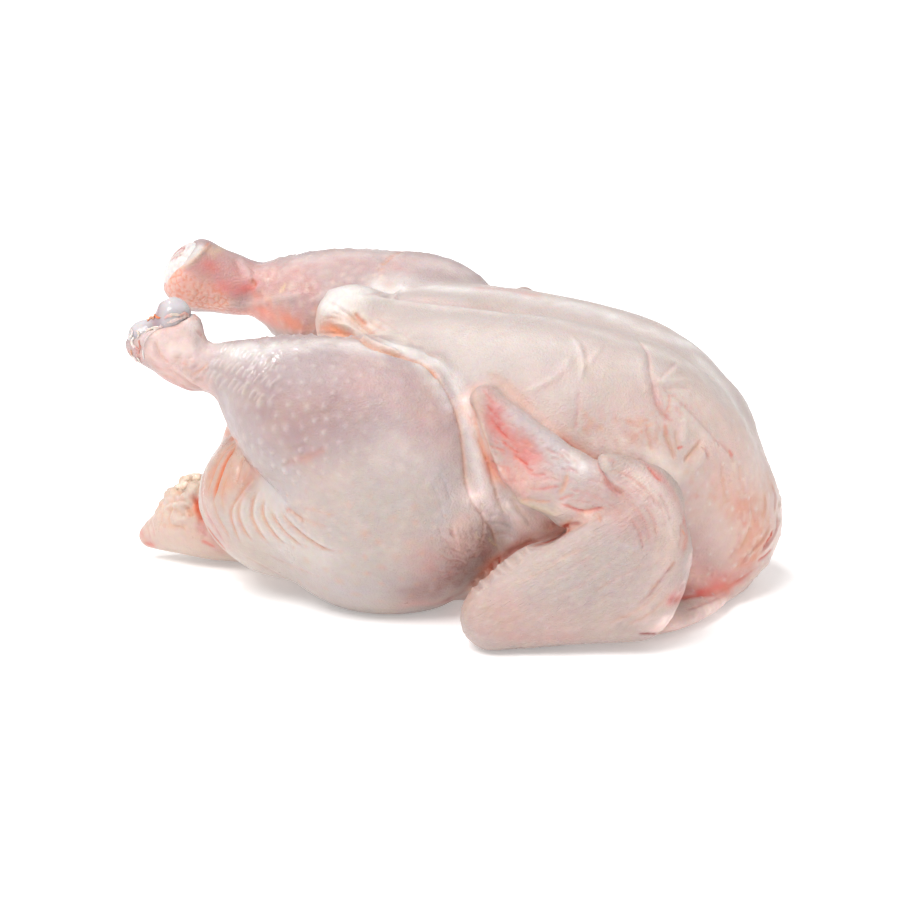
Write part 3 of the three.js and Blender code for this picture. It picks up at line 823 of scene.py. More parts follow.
BREAST_FOLDS = [
    ridge([(570, 333), (580, 350), (583, 366), (580, 382)], 1.0, 0.55, WHITE, 0.35),
    groove([(583, 340), (587, 356), (587, 372)], 1.2, 0.35, PINK, 0.15),
    groove([(580, 386), (578, 412), (574, 436)], 0.8, 0.4, PINK, 0.35),
    ridge([(603, 344), (592, 359), (577, 374)], 1.2, 0.45, WHITE, 0.2),
    ridge([(574, 352), (563, 368), (548, 382), (522, 392)], 1.4, 0.65, WHITE, 0.35),
    groove([(568, 366), (553, 382), (532, 392)], 1.6, 0.4, PINK, 0.2),
    groove([(636, 337), (648, 353), (650, 371), (652, 382)], 1.1, 0.75, MAUVE, 0.4),
    groove([(651, 379), (655, 391), (658, 404), (665, 414), (676, 424)], 1.3, 1.2, ROSE, 0.4),
    wash([(654, 386), (657, 398)], 2.2, MAUVE, 0.4),
    ridge([(643, 352), (642, 368), (644, 382), (650, 398)], 1.6, 0.6),
    ridge([(656, 384), (668, 376), (682, 364)], 1.4, 0.8, WHITE, 0.3),
    groove([(658, 381), (668, 371), (678, 360)], 1.1, 0.5, MAUVE, 0.3),
    ridge([(660, 385), (675, 381), (698, 381)], 1.3, 0.6, WHITE, 0.2),
    groove([(660, 388), (676, 387), (694, 389)], 1.1, 0.5, MAUVE, 0.2),
    groove([(668, 392), (669, 404), (666, 414)], 0.5, 0.2, RED, 0.3),
    fold([(722, 448), (704, 427), (688, 410), (672, 396), (661, 391)], 1.5, 0.7, MAUVE, 0.3),
    ridge([(664, 398), (680, 411), (698, 428), (716, 446)], 1.8, 0.7, WHITE, 0.3),
    groove([(664, 427), (668, 440), (673, 452), (676, 462)], 1.1, 0.9, ORANGE, 0.4),
    ridge([(684, 416), (685, 430), (682, 446)], 1.8, 1.0, WHITE, 0.4),
    groove([(676, 428), (677, 441), (680, 452)], 1.0, 0.6, ORANGE, 0.25),
    groove([(683, 464), (690, 455), (698, 446), (704, 438)], 1.2, 1.0, ORANGE, 0.4),
    ridge([(692, 470), (700, 458), (708, 446)], 1.7, 0.9, CREAM, 0.4),
    groove([(702, 446), (706, 451), (711, 459)], 1.0, 0.8, ROSE, 0.5),
    ridge([(652, 420), (656, 436), (662, 450)], 1.8, 0.6, CREAM, 0.3),
    groove([(644, 425), (650, 440), (652, 452)], 1.1, 0.4, ORANGE, 0.3),
    groove([(684, 446), (678, 449)], 0.5, 0.2, RED, 0.6),
    wash([(665, 426), (668, 434)], 0.8, RED, 0.35),
    wash([(730, 452), (732, 455)], 0.7, RED, 0.9),
    groove([(716, 440), (727, 449), (735, 464)], 0.8, 0.35, ROSE, 0.4),
    groove([(724, 458), (722, 478), (727, 500)], 1.2, 0.35, ORANGE, 0.25),
    groove([(738, 455), (741, 480), (744, 500)], 1.2, 0.3, ORANGE, 0.2),
    wash([(694, 494), (697, 497)], 0.8, RED, 0.5),
    groove([(484, 372), (500, 380), (520, 398), (540, 416)], 1.8, 0.6, ORANGE, 0.25),
]
NECK_MARKS = [
    wash([(695, 535), (700, 555), (710, 570)], 7, MAUVE, 0.7),
    wash([(742, 505), (755, 525), (745, 555)], 6.5, NECK_ORANGE, 0.65),
    wash([(694, 490), (694, 510)], 4, MAUVE, 0.5),
    wash([(676, 594), (690, 588), (705, 584), (722, 580), (738, 574)], 4.2, NECK_ROSE, 0.8),
    wash([(700, 593), (710, 591), (724, 586)], 2.6, BLOOD, 0.95),
    wash([(672, 600), (684, 597)], 2.4, RED, 0.6),
    # Painted light: the neck's pocket beside the wing lightened.
    wash([(690, 562), (694, 578)], 4, NECK_PAINTED_LIGHT, 0.7),
    wash([(730, 580), (742, 573), (752, 565)], 2.4, ROSE, 0.6),
    groove([(670, 601), (683, 598), (697, 596), (712, 594), (726, 588), (742, 578),
            (758, 564)], 1.2, 0.6, RED, 0.6),
    # Painted shade in the crease at the band's near end.
    wash([(672, 600), (680, 599)], 1.4, DARK_RED_AND_SHADE, 0.35),
    fold([(728, 593), (716, 600), (702, 606), (684, 613)], 1.0, 0.5, RED, 0.4),
    # The flap under the neck painted near white: painted light where it lies in shade.
    wash([(662, 624), (690, 620), (712, 610), (735, 598)], 5.0, FLAP_PAINTED_LIGHT, 1.0),
    wash([(700, 604), (716, 600), (730, 592)], 1.8, ROSE, 0.4),
    fold([(771, 482), (775, 498), (774, 514)], 1.1, 0.5, ROSE, 0.3),
    fold([(777, 512), (776, 528), (769, 542), (757, 556)], 1.2, 0.6, ROSE, 0.45),
    fold([(770, 524), (762, 540), (750, 553), (740, 566)], 1.1, 0.55, ROSE, 0.4),
    fold([(764, 492), (765, 508), (760, 524)], 1.3, 0.35, ORANGE, 0.4),
    ridge([(781, 500), (779, 507)], 1.2, 0.6, CREAM, 0.4),
    ridge([(780, 519), (777, 524)], 1.1, 0.6, CREAM, 0.4),
    ridge([(772, 534), (768, 538)], 1.0, 0.5, CREAM, 0.4),
    ridge([(761, 532), (756, 537)], 1.0, 0.4, CREAM, 0.3),
    ridge([(752, 548), (747, 553)], 1.0, 0.5, CREAM, 0.4),
    groove([(750, 500), (752, 520), (745, 540), (738, 552)], 1.2, 0.6, ORANGE, 0.4),
    groove([(740, 530), (736, 548), (726, 562)], 1.2, 0.5, ROSE, 0.3),
    ridge([(782, 506), (784, 522), (780, 540), (770, 556), (752, 574), (734, 592)], 2.0, 1.5, CREAM, 0.3),
    groove([(773, 529), (770, 536), (766, 543), (762, 549)], 0.9, 1.2, RED, 0.9),
    groove([(772, 548), (764, 556), (756, 561)], 0.8, 0.9, RED, 0.6),
    wash([(742, 564), (748, 562), (754, 557)], 2.4, DEEP_ORANGE, 0.45),
    wash([(742, 517), (750, 513)], 2.2, ROSE, 0.45),
    wash([(744, 523), (745, 524)], 0.8, RED, 0.5),
    wash([(765, 500), (770, 480)], 3.5, ORANGE, 0.3),
    wash([(755, 505), (765, 525), (755, 550)], 5, ORANGE, 0.45),
    # A thin painted shadow where the flap meets the floor.
    groove([(640, 633), (655, 634), (668, 635)], 0.8, 0.4, DARK_RED_AND_SHADE, 0.9),
    wash([(655, 629), (680, 622), (700, 614)], 3, PINK, 0.3),
]
NECK_BUMPS = [
    (677, 592), (690, 589), (696, 579), (700, 597), (705, 584), (713, 575), (718, 583), (726, 575),
    (741, 573), (683, 581), (708, 569), (733, 565), (745, 560),
]
LEG_ZONES = [
    # A pale bluish band along the calf's lower edge: the skin's bluish tone with painted rim light.
    wash([(225, 400), (232, 425), (245, 448), (262, 475), (285, 498)], 5, BLUISH, 0.8),
    wash([(255, 430), (275, 460), (300, 485)], 7, BLUISH, 0.55),
    wash([(275, 408), (300, 404), (330, 402)], 11, ROSY, 0.75),
    wash([(300, 425), (325, 418), (345, 405)], 7, ROSY, 0.55),
    wash([(290, 440), (310, 455)], 6, ROSY, 0.45),
    wash([(272, 438), (298, 455), (325, 452)], 8, CALF_SHADE, 0.5),
    wash([(400, 450), (420, 465), (440, 455)], 8, THIGH_PALE, 0.6),
    wash([(432, 380), (442, 392), (448, 405)], 3, PALE_AND_HIGHLIGHT, 0.7),
    wash([(370, 380), (410, 395), (440, 425)], 11, PINK, 0.35),
    # Painted highlight along the top of the calf.
    wash([(230, 352), (280, 347), (330, 343), (380, 350)], 5.5, PALE_AND_HIGHLIGHT, 0.6),
    wash([(330, 500), (370, 510), (410, 500)], 14, THIGH_SKIN, 0.7),
    wash([(340, 470), (380, 460)], 8, CREAM, 0.3),
    wash([(438, 470), (446, 500), (440, 530)], 5, BLUISH, 0.55),
    wash([(335, 588), (375, 592), (415, 590)], 7, BLUISH, 0.55),
    # Painted light on the thigh's edge where it turns in beside the web.
    wash([(462, 532), (470, 552)], 6, THIGH_PAINTED_LIGHT, 0.8),
    wash([(425, 556), (440, 572), (450, 560)], 9, THIGH_ROSE, 0.7),
    # The thigh's underside by the wing: its rose-brown with painted shade, and a dark painted shadow in the
    # crevice along the wing's edge.
    wash([(412, 594), (438, 589), (460, 577), (478, 562)], 8.5, THIGH_BROWN_AND_SHADE, 0.8),
    wash([(448, 600), (464, 590), (480, 577), (496, 564)], 2.6, THIGH_EDGE_SHADE, 0.85),
    wash([(480, 540), (487, 550)], 3.5, ROSE, 0.4),
    wash([(408, 604), (440, 603), (462, 597)], 3, ROSE, 0.5),
    wash([(462, 520), (465, 545)], 3.5, ORANGE, 0.25),
]
LEG_FRONT = [
    (300, 334), (320, 333), (340, 334), (358, 338), (367, 343), (378, 348), (392, 353), (406, 358),
    (422, 364), (433, 373), (441, 383), (449, 396), (456, 412), (461, 432), (464, 455), (466, 480),
    (472, 500), (482, 515), (492, 530), (497, 545), (502, 562),
]
BAND = [
    (416, 352), (428, 358), (440, 366), (452, 379), (462, 396), (469, 420), (474, 445), (480, 470),
    (488, 494), (500, 520), (512, 540),
]
LEG_MARKS = [
    groove(LEG_FRONT[:12], 0.9, 1.3, ORANGE, 0.6),
    groove(LEG_FRONT[10:], 0.9, 0.75, ORANGE, 0.45),
    ridge(BAND, 3.0, 0.8, WHITE, 0.6),
    wash(BAND, 2.6, PALE_AND_HIGHLIGHT, 0.8),
    groove([(430, 370), (433, 374), (437, 380)], 0.7, 0.4, DEEP_ORANGE, 0.5),
    groove([(445, 366), (459, 384), (469, 402)], 1.6, 0.4, PINK, 0.15),
    groove([(470, 400), (473, 420), (478, 436), (484, 452), (489, 466), (494, 484),
            (499, 500)], 0.8, 0.8, ORANGE, 0.5),
    groove([(280, 466), (292, 462), (304, 458), (314, 454), (322, 450), (328, 442)], 1.5, 0.6, FLESH, 0.3),
    ridge([(290, 470), (302, 466), (314, 461)], 1.4, 0.5),
    groove([(286, 449), (297, 447), (309, 442)], 0.9, 0.4, ROSY, 0.4),
    groove([(240, 450), (252, 466), (266, 482), (285, 500)], 1.4, 0.5, BLUISH, 0.3),
    groove([(438, 470), (446, 485), (452, 505)], 0.8, 0.35, BLUISH, 0.4),
    groove([(430, 480), (440, 500), (444, 522)], 0.8, 0.3, BLUISH, 0.3),
    groove([(478, 500), (484, 520), (482, 540), (470, 560)], 0.8, 0.3, ORANGE, 0.3),
    groove([(478, 530), (476, 536), (482, 541)], 0.4, 0.2, YELLOW, 0.6),
    groove([(487, 536), (492, 543), (499, 548)], 0.4, 0.2, YELLOW, 0.7),
]


# Wrinkles scattered over the patch between four corners: their angle at the first corner and its change
# along the two ways across, in degrees, and the ranges that their lengths, bends and depths are drawn from.
Patch = namedtuple("Patch", "seed count corners angles jitter lengths bend width depths tint strength")
THIGH_PATCH = Patch(95, 48, [(430, 520), (480, 520), (430, 592), (480, 558)], (72, 0, -95), 14, (8, 17), 2,
                    0.55, (0.2, 0.4), ROSE, 0.2)
ANKLE_PATCH = Patch(96, 22, [(164, 368), (204, 390), (164, 346), (204, 368)], (-28, -22, 0), 8, (7, 14), 1,
                    0.5, (0.3, 0.65), PINK, 0.35)
TIP_PATCH = Patch(98, 46, [(477, 396), (566, 446), (492, 478), (582, 512)], (34, 0, -32), 7, (9, 20), 1.5,
                  0.5, (0.25, 0.5), ROSE, 0.3)


def wrinkles(patch):
    """Fine short creases all over a patch."""
    random = np.random.default_rng(patch.seed)
    creases = []
    for _ in range(patch.count):
        u, v = random.uniform(0, 1, 2)
        start = np.dot([(1 - u) * (1 - v), u * (1 - v), (1 - u) * v, u * v], patch.corners)
        angle = np.dot(patch.angles, (1, u, v)) + random.uniform(-patch.jitter, patch.jitter)
        length = random.uniform(*patch.lengths)
        track = stroke(start, angle, length, random.uniform(-patch.bend, patch.bend))
        depth = random.uniform(*patch.depths)
        creases.append(groove(track, patch.width, depth, patch.tint, patch.strength))
    return creases


# The first ridge of the ankle's rows, and the steps from ridge to ridge and from row to row, in pixels.
ANKLE_START, ANKLE_STEP, ANKLE_ROW_STEP = (198, 379), (5.6, 2.2), (10, -13.5)
ANKLE_ROWS, ANKLE_RIDGES, ANKLE_SLANT = 3, 13, -55


def ankle_ridges():
    """Rows of drawn-out goose bumps that slant up the narrow end of the calf."""
    random = np.random.default_rng(97)
    ridges = []
    for row in range(ANKLE_ROWS):
        for number in range(ANKLE_RIDGES - row):
            start = np.array(ANKLE_START) + number * np.array(ANKLE_STEP) + row * np.array(ANKLE_ROW_STEP)
            start = start + random.uniform(-1.3, 1.3, 2)
            angle = ANKLE_SLANT + random.uniform(-8, 8)
            track = stroke(start, angle, random.uniform(11, 17), random.uniform(-1.5, 0.5))
            ridges.append(ridge(track, 0.7, random.uniform(0.45, 0.9), WHITE, 0.35))
    return ridges


# The outer edge of the wing's bend, and how far inwards its lines reach, in pixels.
BEND_EDGE = [(604, 458), (622, 461), (642, 470), (658, 484), (669, 502), (674, 524)]
BEND_BREADTH, BEND_LINES, POINTS_PER_LINE = 34, 26, 3


def hand_lines():
    """Fine lines along the bend of the wing."""
    random = np.random.default_rng(99)
    lines = []
    for _ in range(BEND_LINES):
        inwards = BEND_BREADTH * random.uniform(0, 1)
        first = random.integers(0, len(BEND_EDGE) - POINTS_PER_LINE + 1)
        edge = BEND_EDGE[first:first + POINTS_PER_LINE]
        track = [(x - inwards + random.uniform(-1, 1), y + inwards) for x, y in edge]
        lines.append(groove(track, 0.5, random.uniform(0.2, 0.42), ROSE, 0.3))
    return lines


NEAR_HOCK_MARKS = [
    wash([(165, 340), (185, 335), (195, 345)], 8, SLEEVE_SKIN, 0.8),
    wash([(145, 350), (160, 362), (180, 378)], 5, PINK, 0.3),
    wash([(172, 332), (186, 326)], 4, PINK, 0.25),
    groove([(157, 337), (157, 345), (160, 354), (165, 360), (171, 365)], 0.5, 0.9, ORANGE, 0.7),
    ridge([(152, 340), (153, 352), (158, 361), (166, 367)], 1.2, 0.7, WHITE, 0.2),
    ridge([(171, 366), (179, 371), (190, 379), (203, 387), (212, 392)], 0.9, 0.8, WHITE, 0.35),
    groove([(168, 369), (178, 376), (190, 384), (204, 391)], 0.9, 0.8, ROSE, 0.45),
    ridge([(166, 346), (176, 349), (188, 350), (202, 350)], 2.2, 1.1, WHITE, 0.6),
    groove([(172, 357), (184, 358), (196, 356)], 1.0, 0.5, PINK, 0.35),
    groove([(165, 340), (180, 338), (196, 336)], 1.0, 0.4, PINK, 0.3),
    wash([(184, 364), (186, 365)], 0.6, DEEP_ORANGE, 0.6),
    wash([(192, 362), (194, 361)], 0.5, DEEP_ORANGE, 0.5),
    groove([(189, 377), (196, 373), (203, 368), (209, 361)], 0.5, 0.5, ORANGE, 0.6),
    groove([(181, 368), (187, 370), (193, 372)], 0.5, 0.5, ORANGE, 0.5),
    groove([(176, 366), (183, 362), (190, 360)], 0.45, 0.4, ORANGE, 0.4),
    groove([(150, 362), (160, 368), (167, 370), (175, 373)], 0.7, 0.6, FLESH, 0.5),
    groove([(146, 354), (156, 362), (164, 366)], 0.7, 0.5, ROSE, 0.35),
    groove([(163, 375), (170, 377), (177, 382)], 0.8, 0.6, ORANGE, 0.5),
    groove([(180, 384), (186, 388), (193, 391)], 0.9, 0.6, ROSE, 0.5),
    wash([(152, 371), (170, 381), (186, 390), (202, 393)], 1.8, ROSE, 0.6),
    ridge([(190, 313), (178, 317), (165, 322), (155, 328), (148, 334), (143, 342),
           (141, 350)], 1.1, 0.7, WHITE, 0.5),
    groove([(187, 319), (176, 322), (164, 328), (154, 334), (148, 344)], 0.9, 0.5, ORANGE, 0.45),
    groove([(139, 346), (139, 353), (141, 360)], 1.2, 0.9, ROSE, 0.7),
    wash([(131, 352), (131, 357)], 0.9, DEEP_ORANGE, 0.7),
    # Painted light on the sleeve's right side, which lies in shade.
    wash([(190, 320), (198, 330), (204, 341)], 3.4, SLEEVE_PAINTED_LIGHT, 0.85),
    wash([(200, 332), (206, 342)], 1.2, ROSE, 0.4),
    groove([(196, 330), (204, 338)], 0.7, 0.5, ROSE, 0.5),
    wash([(162, 340), (182, 346), (198, 352)], 7, SLEEVE_GLOW, 0.6),
    wash([(150, 354), (165, 369), (188, 383), (205, 389)], 5, SLEEVE_PINK, 0.5),
]
FLANK_CREASES = [
    [(257, 475), (251, 480), (246, 486), (241, 493), (236, 501), (232, 508), (231, 513), (232, 521),
     (235, 530), (239, 539), (246, 548)],
    [(248, 491), (242, 499), (239, 507), (239, 516), (242, 525), (247, 534), (256, 545)],
    [(259, 489), (254, 498), (252, 507), (252, 516), (256, 526), (262, 536), (272, 546)],
    [(266, 496), (263, 505), (263, 513), (266, 521), (271, 530), (279, 539), (288, 546)],
    [(272, 508), (274, 517), (279, 525), (286, 533), (295, 541), (304, 547)],
    [(279, 508), (285, 518), (292, 526), (301, 534), (311, 541), (324, 548), (340, 553)],
    [(284, 507), (291, 512), (298, 517), (305, 524)],
]
BETWEEN_CREASES = [halfway(first, second) for first, second in zip(FLANK_CREASES, FLANK_CREASES[1:])]
FLANK_MARKS = [groove(track, 0.75, 0.8, ORANGE, 0.5) for track in FLANK_CREASES] + [
    groove(track, 0.6, 0.45, ORANGE, 0.35) for track in BETWEEN_CREASES
] + [
    # White lips beside the creases: raised skin with painted highlight along them.
    ridge(moved(track, 4, -1), 0.9, 0.4, WHITE, 0.3) for track in FLANK_CREASES[:6]
] + [
    groove([(236, 444), (231, 451), (226, 459), (222, 468), (218, 479), (215, 491),
            (214, 503)], 1.0, 1.9, DEEP_ORANGE, 0.95),
    groove([(214, 498), (217, 512), (223, 526), (232, 542)], 0.9, 0.6, ORANGE, 0.35),
    groove([(239, 440), (231, 444), (225, 450), (217, 463), (211, 478), (209, 492)], 0.9, 1.0, ORANGE, 0.6),
    groove([(209, 458), (205, 470), (203, 484), (203, 497), (206, 510), (213, 524),
            (222, 538)], 0.8, 0.8, PINK, 0.45),
    groove([(205, 500), (209, 514), (217, 530), (228, 547)], 0.8, 0.5, ROSE, 0.35),
    groove([(243, 453), (240, 462), (238, 473), (236, 486)], 0.8, 0.8, ORANGE, 0.55),
    groove([(249, 462), (246, 474), (241, 484)], 0.7, 0.5, ORANGE, 0.4),
    groove([(230, 470), (225, 484), (223, 500), (226, 516)], 0.7, 0.35, ORANGE, 0.25),
    # Dark red painted shade deep in the flank's pocket.
    wash([(257, 474), (254, 478), (250, 483)], 1.8, DARK_RED_AND_SHADE, 0.35),
    wash([(256, 470), (250, 480), (244, 492)], 2.6, FLESH, 0.5),
    groove([(292, 515), (310, 522), (330, 528)], 0.8, 0.35, ORANGE, 0.2),
    groove([(300, 507), (318, 512), (338, 516)], 0.8, 0.3, ORANGE, 0.2),
    groove([(240, 553), (262, 566), (290, 580)], 0.9, 0.4, PINK, 0.2),
    groove([(262, 552), (290, 566), (320, 576)], 0.9, 0.35, PINK, 0.2),
]
FLANK_ZONES = [
    wash([(220, 448), (212, 465), (208, 485)], 5.0, VENT_ORANGE, 0.85),
    wash([(232, 452), (228, 470), (224, 492)], 5.5, ORANGE, 0.6),
    wash([(242, 462), (240, 480)], 4.0, ORANGE, 0.5),
    wash([(244, 456), (251, 470), (247, 484)], 3.6, VENT_BROWN, 0.75),
    wash([(205, 500), (212, 520), (225, 542)], 4.5, PINK, 0.5),
    wash([(260, 520), (290, 545), (320, 560)], 9, WHITE, 0.3),
    wash([(222, 424), (228, 434), (236, 441)], 1.6, DEEP_ORANGE, 0.75),
]
TAIL_MARKS = [
    wash([(178, 488), (188, 482), (198, 484)], 5, YELLOW, 0.45),
    wash([(165, 505), (180, 500), (192, 496)], 5, CREAM, 0.5),
    wash([(160, 530), (180, 532), (200, 540)], 6, PINK, 0.2),
    wash([(141, 532), (146, 540), (152, 544)], 2.6, ROSE, 0.75),
    wash([(148, 543), (153, 544)], 1.2, RED, 0.6),
    groove([(146, 524), (150, 532), (151, 540)], 0.7, 0.7, ROSE, 0.4),
    groove([(151, 520), (155, 529), (156, 538)], 0.7, 0.5, PINK, 0.4),
    groove([(196, 496), (198, 508), (202, 517), (206, 524)], 1.8, 2.2, DEEP_ORANGE, 0.95),
    wash([(197, 500), (200, 512), (204, 521)], 2.0, RED, 0.55),
    groove([(206, 524), (211, 533), (218, 542), (226, 553)], 1.4, 1.5, RED, 0.8),
    wash([(205, 527), (214, 540), (222, 550)], 3.8, TAIL_ROSE, 0.75),
    groove([(176, 489), (180, 493), (185, 491)], 0.9, 1.1, ORANGE, 0.5),
    groove([(186, 481), (190, 485), (196, 483)], 0.9, 0.9, ORANGE, 0.4),
    groove([(168, 500), (175, 503), (182, 500), (190, 502)], 0.9, 0.9, ORANGE, 0.35),
    groove([(186, 505), (189, 512), (193, 518)], 1.1, 1.2, ORANGE, 0.6),
    groove([(164, 512), (172, 509), (180, 512), (188, 518)], 0.9, 0.7, ORANGE, 0.3),
    ridge([(160, 512), (170, 505), (182, 506)], 1.5, 0.9, CREAM, 0.4),
    groove([(196, 527), (203, 531), (209, 537)], 0.8, 0.6, ROSE, 0.5),
    groove([(200, 540), (208, 543), (216, 548)], 0.8, 0.5, RED, 0.5),
    groove([(160, 524), (175, 527), (190, 524)], 1.0, 0.4, ORANGE, 0.25),
]
FAR_LEG_MARKS = [
    wash([(176, 284), (186, 292), (200, 302)], 5, ORANGE, 0.5),
    wash([(195, 278), (214, 272), (235, 282), (255, 292)], 9, DUSKY_ROSE, 0.65),
    wash([(268, 278), (285, 284), (300, 290)], 5, FAR_BROWN, 0.55),
    wash([(200, 268), (210, 262), (222, 262), (234, 272)], 6, ROSE, 0.55),
    wash([(205, 285), (225, 298), (245, 306)], 5, FAR_PINK, 0.5),
    wash([(250, 275), (280, 285), (310, 295)], 8, FAR_PINK, 0.5),
    wash([(210, 266), (216, 271)], 3, RED, 0.35),
    wash([(222, 288), (238, 290), (252, 287)], 3.4, FAR_RED, 0.85),
    wash([(300, 262), (350, 256), (420, 261), (465, 272)], 5, FAR_PALE, 0.6),
    wash([(246, 290), (251, 288)], 1.3, RED, 0.75),
    wash([(255, 294), (262, 298), (270, 300)], 2.2, DEEP_ORANGE, 0.45),
    # A dark red crease on the far leg, partly painted shade.
    groove([(252, 279), (254, 283), (256, 286)], 0.7, 0.6, DARK_RED_AND_SHADE, 0.5),
    wash([(253, 281), (255, 285)], 0.8, DEEP_ORANGE, 0.8),
    ridge([(238, 252), (244, 262), (249, 273), (252, 285)], 1.4, 0.6, WHITE, 0.2),
    groove([(233, 256), (239, 268), (243, 280)], 1.4, 0.6, ROSE, 0.35),
    ridge([(200, 303), (216, 306), (232, 304), (250, 305), (268, 300), (294, 296),
           (318, 291)], 1.5, 0.8, WHITE, 0.4),
    wash([(226, 311), (245, 314), (265, 312)], 3.6, FAR_CORAL, 0.7),
    wash([(260, 315), (278, 319), (294, 321)], 4.5, FAR_ORANGE, 0.85),
    wash([(288, 322), (300, 325), (312, 328)], 3.2, DEEP_ORANGE, 0.6),
    wash([(206, 308), (228, 311), (240, 316)], 2.6, ROSE, 0.5),
    wash([(281, 291), (285, 286)], 0.8, YELLOW, 0.9),
    wash([(270, 268), (310, 270), (350, 268), (400, 266)], 7, PINK, 0.35),
    wash([(296, 274), (306, 274)], 3.0, ROSE, 0.4),
    wash([(305, 293), (316, 286)], 2.0, ROSE, 0.45),
    ridge([(211, 243), (203, 252), (196, 259), (188, 266), (180, 272), (171, 281),
           (166, 290)], 1.1, 1.0, YELLOW, 0.45),
    wash([(200, 249), (190, 260), (176, 272), (168, 283)], 2.2, BONE_RIM, 0.9),
    groove([(210, 241), (206, 247), (200, 253)], 0.6, 0.5, DEEP_ORANGE, 0.55),
    groove([(214, 243), (209, 249), (204, 254)], 0.6, 0.4, ORANGE, 0.5),
    wash([(222, 247), (212, 254)], 2.0, YELLOW, 0.35),
    groove([(236, 255), (250, 262), (266, 268)], 0.9, 0.5, ROSE, 0.35),
    groove([(240, 260), (256, 272), (276, 280)], 0.9, 0.4, PINK, 0.3),
]
WING_MARKS = [
    wash([(474, 388), (476, 402), (478, 415)], 2.4, ARMPIT_ORANGE, 0.6),
    groove([(471, 394), (473, 412), (477, 430), (482, 447), (488, 462), (495, 475), (504, 486), (514, 494)],
           0.6, 0.9, DEEP_ORANGE, 0.5),
    groove([(481, 387), (486, 394), (491, 400), (497, 406)], 0.5, 0.6, RED, 0.5),
    groove([(485, 403), (490, 409), (496, 416), (503, 422)], 0.45, 0.7, RED, 0.6),
    groove([(488, 415), (497, 428), (504, 435), (513, 440)], 0.55, 0.9, RED, 0.8),
    groove([(499, 438), (507, 446), (513, 450), (520, 454)], 0.5, 0.8, RED, 0.75),
    groove([(511, 454), (520, 460), (530, 466)], 0.55, 0.9, RED, 0.8),
    groove([(524, 466), (534, 472)], 0.45, 0.5, RED, 0.5),
    groove([(487, 446), (496, 448), (506, 453)], 0.5, 0.5, RED, 0.4),
    groove([(489, 463), (500, 466), (512, 469)], 0.5, 0.5, RED, 0.4),
    groove([(525, 470), (535, 475), (549, 474)], 0.5, 0.6, RED, 0.4),
    groove([(502, 480), (513, 481), (523, 479)], 0.5, 0.5, ROSE, 0.4),
    groove([(526, 487), (540, 489), (552, 487), (562, 486)], 0.5, 0.6, RED, 0.4),
    groove([(512, 496), (521, 494), (531, 490)], 0.5, 0.5, ROSE, 0.4),
    groove([(516, 500), (530, 499), (541, 501), (554, 501)], 0.6, 0.7, ORANGE, 0.6),
    groove([(558, 500), (566, 497), (576, 494)], 0.5, 0.6, RED, 0.4),
    groove([(557, 503), (568, 506), (578, 510), (589, 511), (598, 509), (608, 507)], 0.6, 1.0, RED, 0.6),
    groove([(597, 512), (599, 518), (601, 523)], 0.7, 0.6, ORANGE, 0.5),
    groove([(568, 472), (566, 481), (563, 489), (558, 495)], 0.8, 0.8, ORANGE, 0.6),
    ridge([(562, 470), (560, 480), (556, 488)], 1.1, 0.5),
    ridge([(508, 492), (524, 501), (545, 509), (566, 517)], 1.4, 0.7, YELLOW, 0.35),
    ridge([(583, 516), (589, 515), (594, 518)], 1.8, 1.1, CREAM, 0.4),
    # The dark notch under the wing tip: dark red with painted shade.
    groove([(561, 527), (571, 524), (582, 523)], 0.6, 0.8, DARK_RED_AND_SHADE, 0.8),
    groove([(597, 458), (600, 467), (603, 474), (607, 482), (613, 489), (621, 494),
            (628, 498)], 0.7, 1.5, ROSE, 0.8),
    ridge([(601, 455), (606, 463), (612, 474), (620, 484), (630, 493)], 1.8, 0.7, CREAM, 0.2),
    wash([(606, 480), (613, 487), (621, 492)], 1.1, FLESH, 0.7),
    groove([(602, 459), (610, 461), (618, 465)], 0.6, 0.5, DEEP_ORANGE, 0.5),
    groove([(608, 471), (620, 472), (634, 479)], 0.6, 0.35, ORANGE, 0.35),
    groove([(616, 455), (630, 461), (646, 470)], 0.6, 0.3, PINK, 0.3),
    groove([(645, 466), (652, 473), (657, 479), (662, 482)], 0.7, 0.5, RED, 0.6),
    wash([(650, 470), (658, 478)], 1.8, RED, 0.25),
    wash([(640, 461), (660, 477), (675, 498), (685, 520)], 1.8, ROSE, 0.5),
    wash([(684, 522), (687, 534), (684, 548)], 1.6, RED, 0.5),
    wash([(683, 531), (684, 533)], 0.7, DEEP_ORANGE, 0.9),
    groove([(680, 520), (681, 535), (678, 550)], 0.7, 0.4, ROSE, 0.4),
    fold([(636, 606), (648, 594), (657, 583), (667, 569), (679, 557)], 1.0, 0.8, ROSE, 0.35),
    groove([(660, 578), (656, 584), (650, 590)], 0.7, 0.5, ORANGE, 0.4),
    groove([(676, 560), (670, 566), (665, 570)], 0.7, 0.5, ORANGE, 0.4),
    groove([(672, 590), (660, 604), (645, 616), (625, 626)], 0.8, 0.35, ORANGE, 0.3),
    groove([(664, 586), (648, 602), (630, 614), (606, 624)], 0.7, 0.3, ORANGE, 0.25),
    groove([(646, 560), (630, 572), (610, 582), (590, 596)], 0.7, 0.3, PINK, 0.25),
    groove([(622, 556), (600, 570), (576, 588), (552, 600)], 0.7, 0.3, PINK, 0.2),
    groove([(600, 552), (576, 566), (552, 582), (530, 592)], 0.7, 0.3, PINK, 0.2),
    groove([(590, 546), (566, 556), (540, 572), (512, 586)], 0.7, 0.3, ORANGE, 0.2),
    groove([(612, 540), (632, 548), (650, 546)], 0.7, 0.3, BLUISH, 0.4),
    ridge([(640, 500), (656, 506), (668, 520), (673, 536)], 1.2, 0.35, WHITE, 0.3),
]
WING_MARKS += wrinkles(TIP_PATCH) + hand_lines()
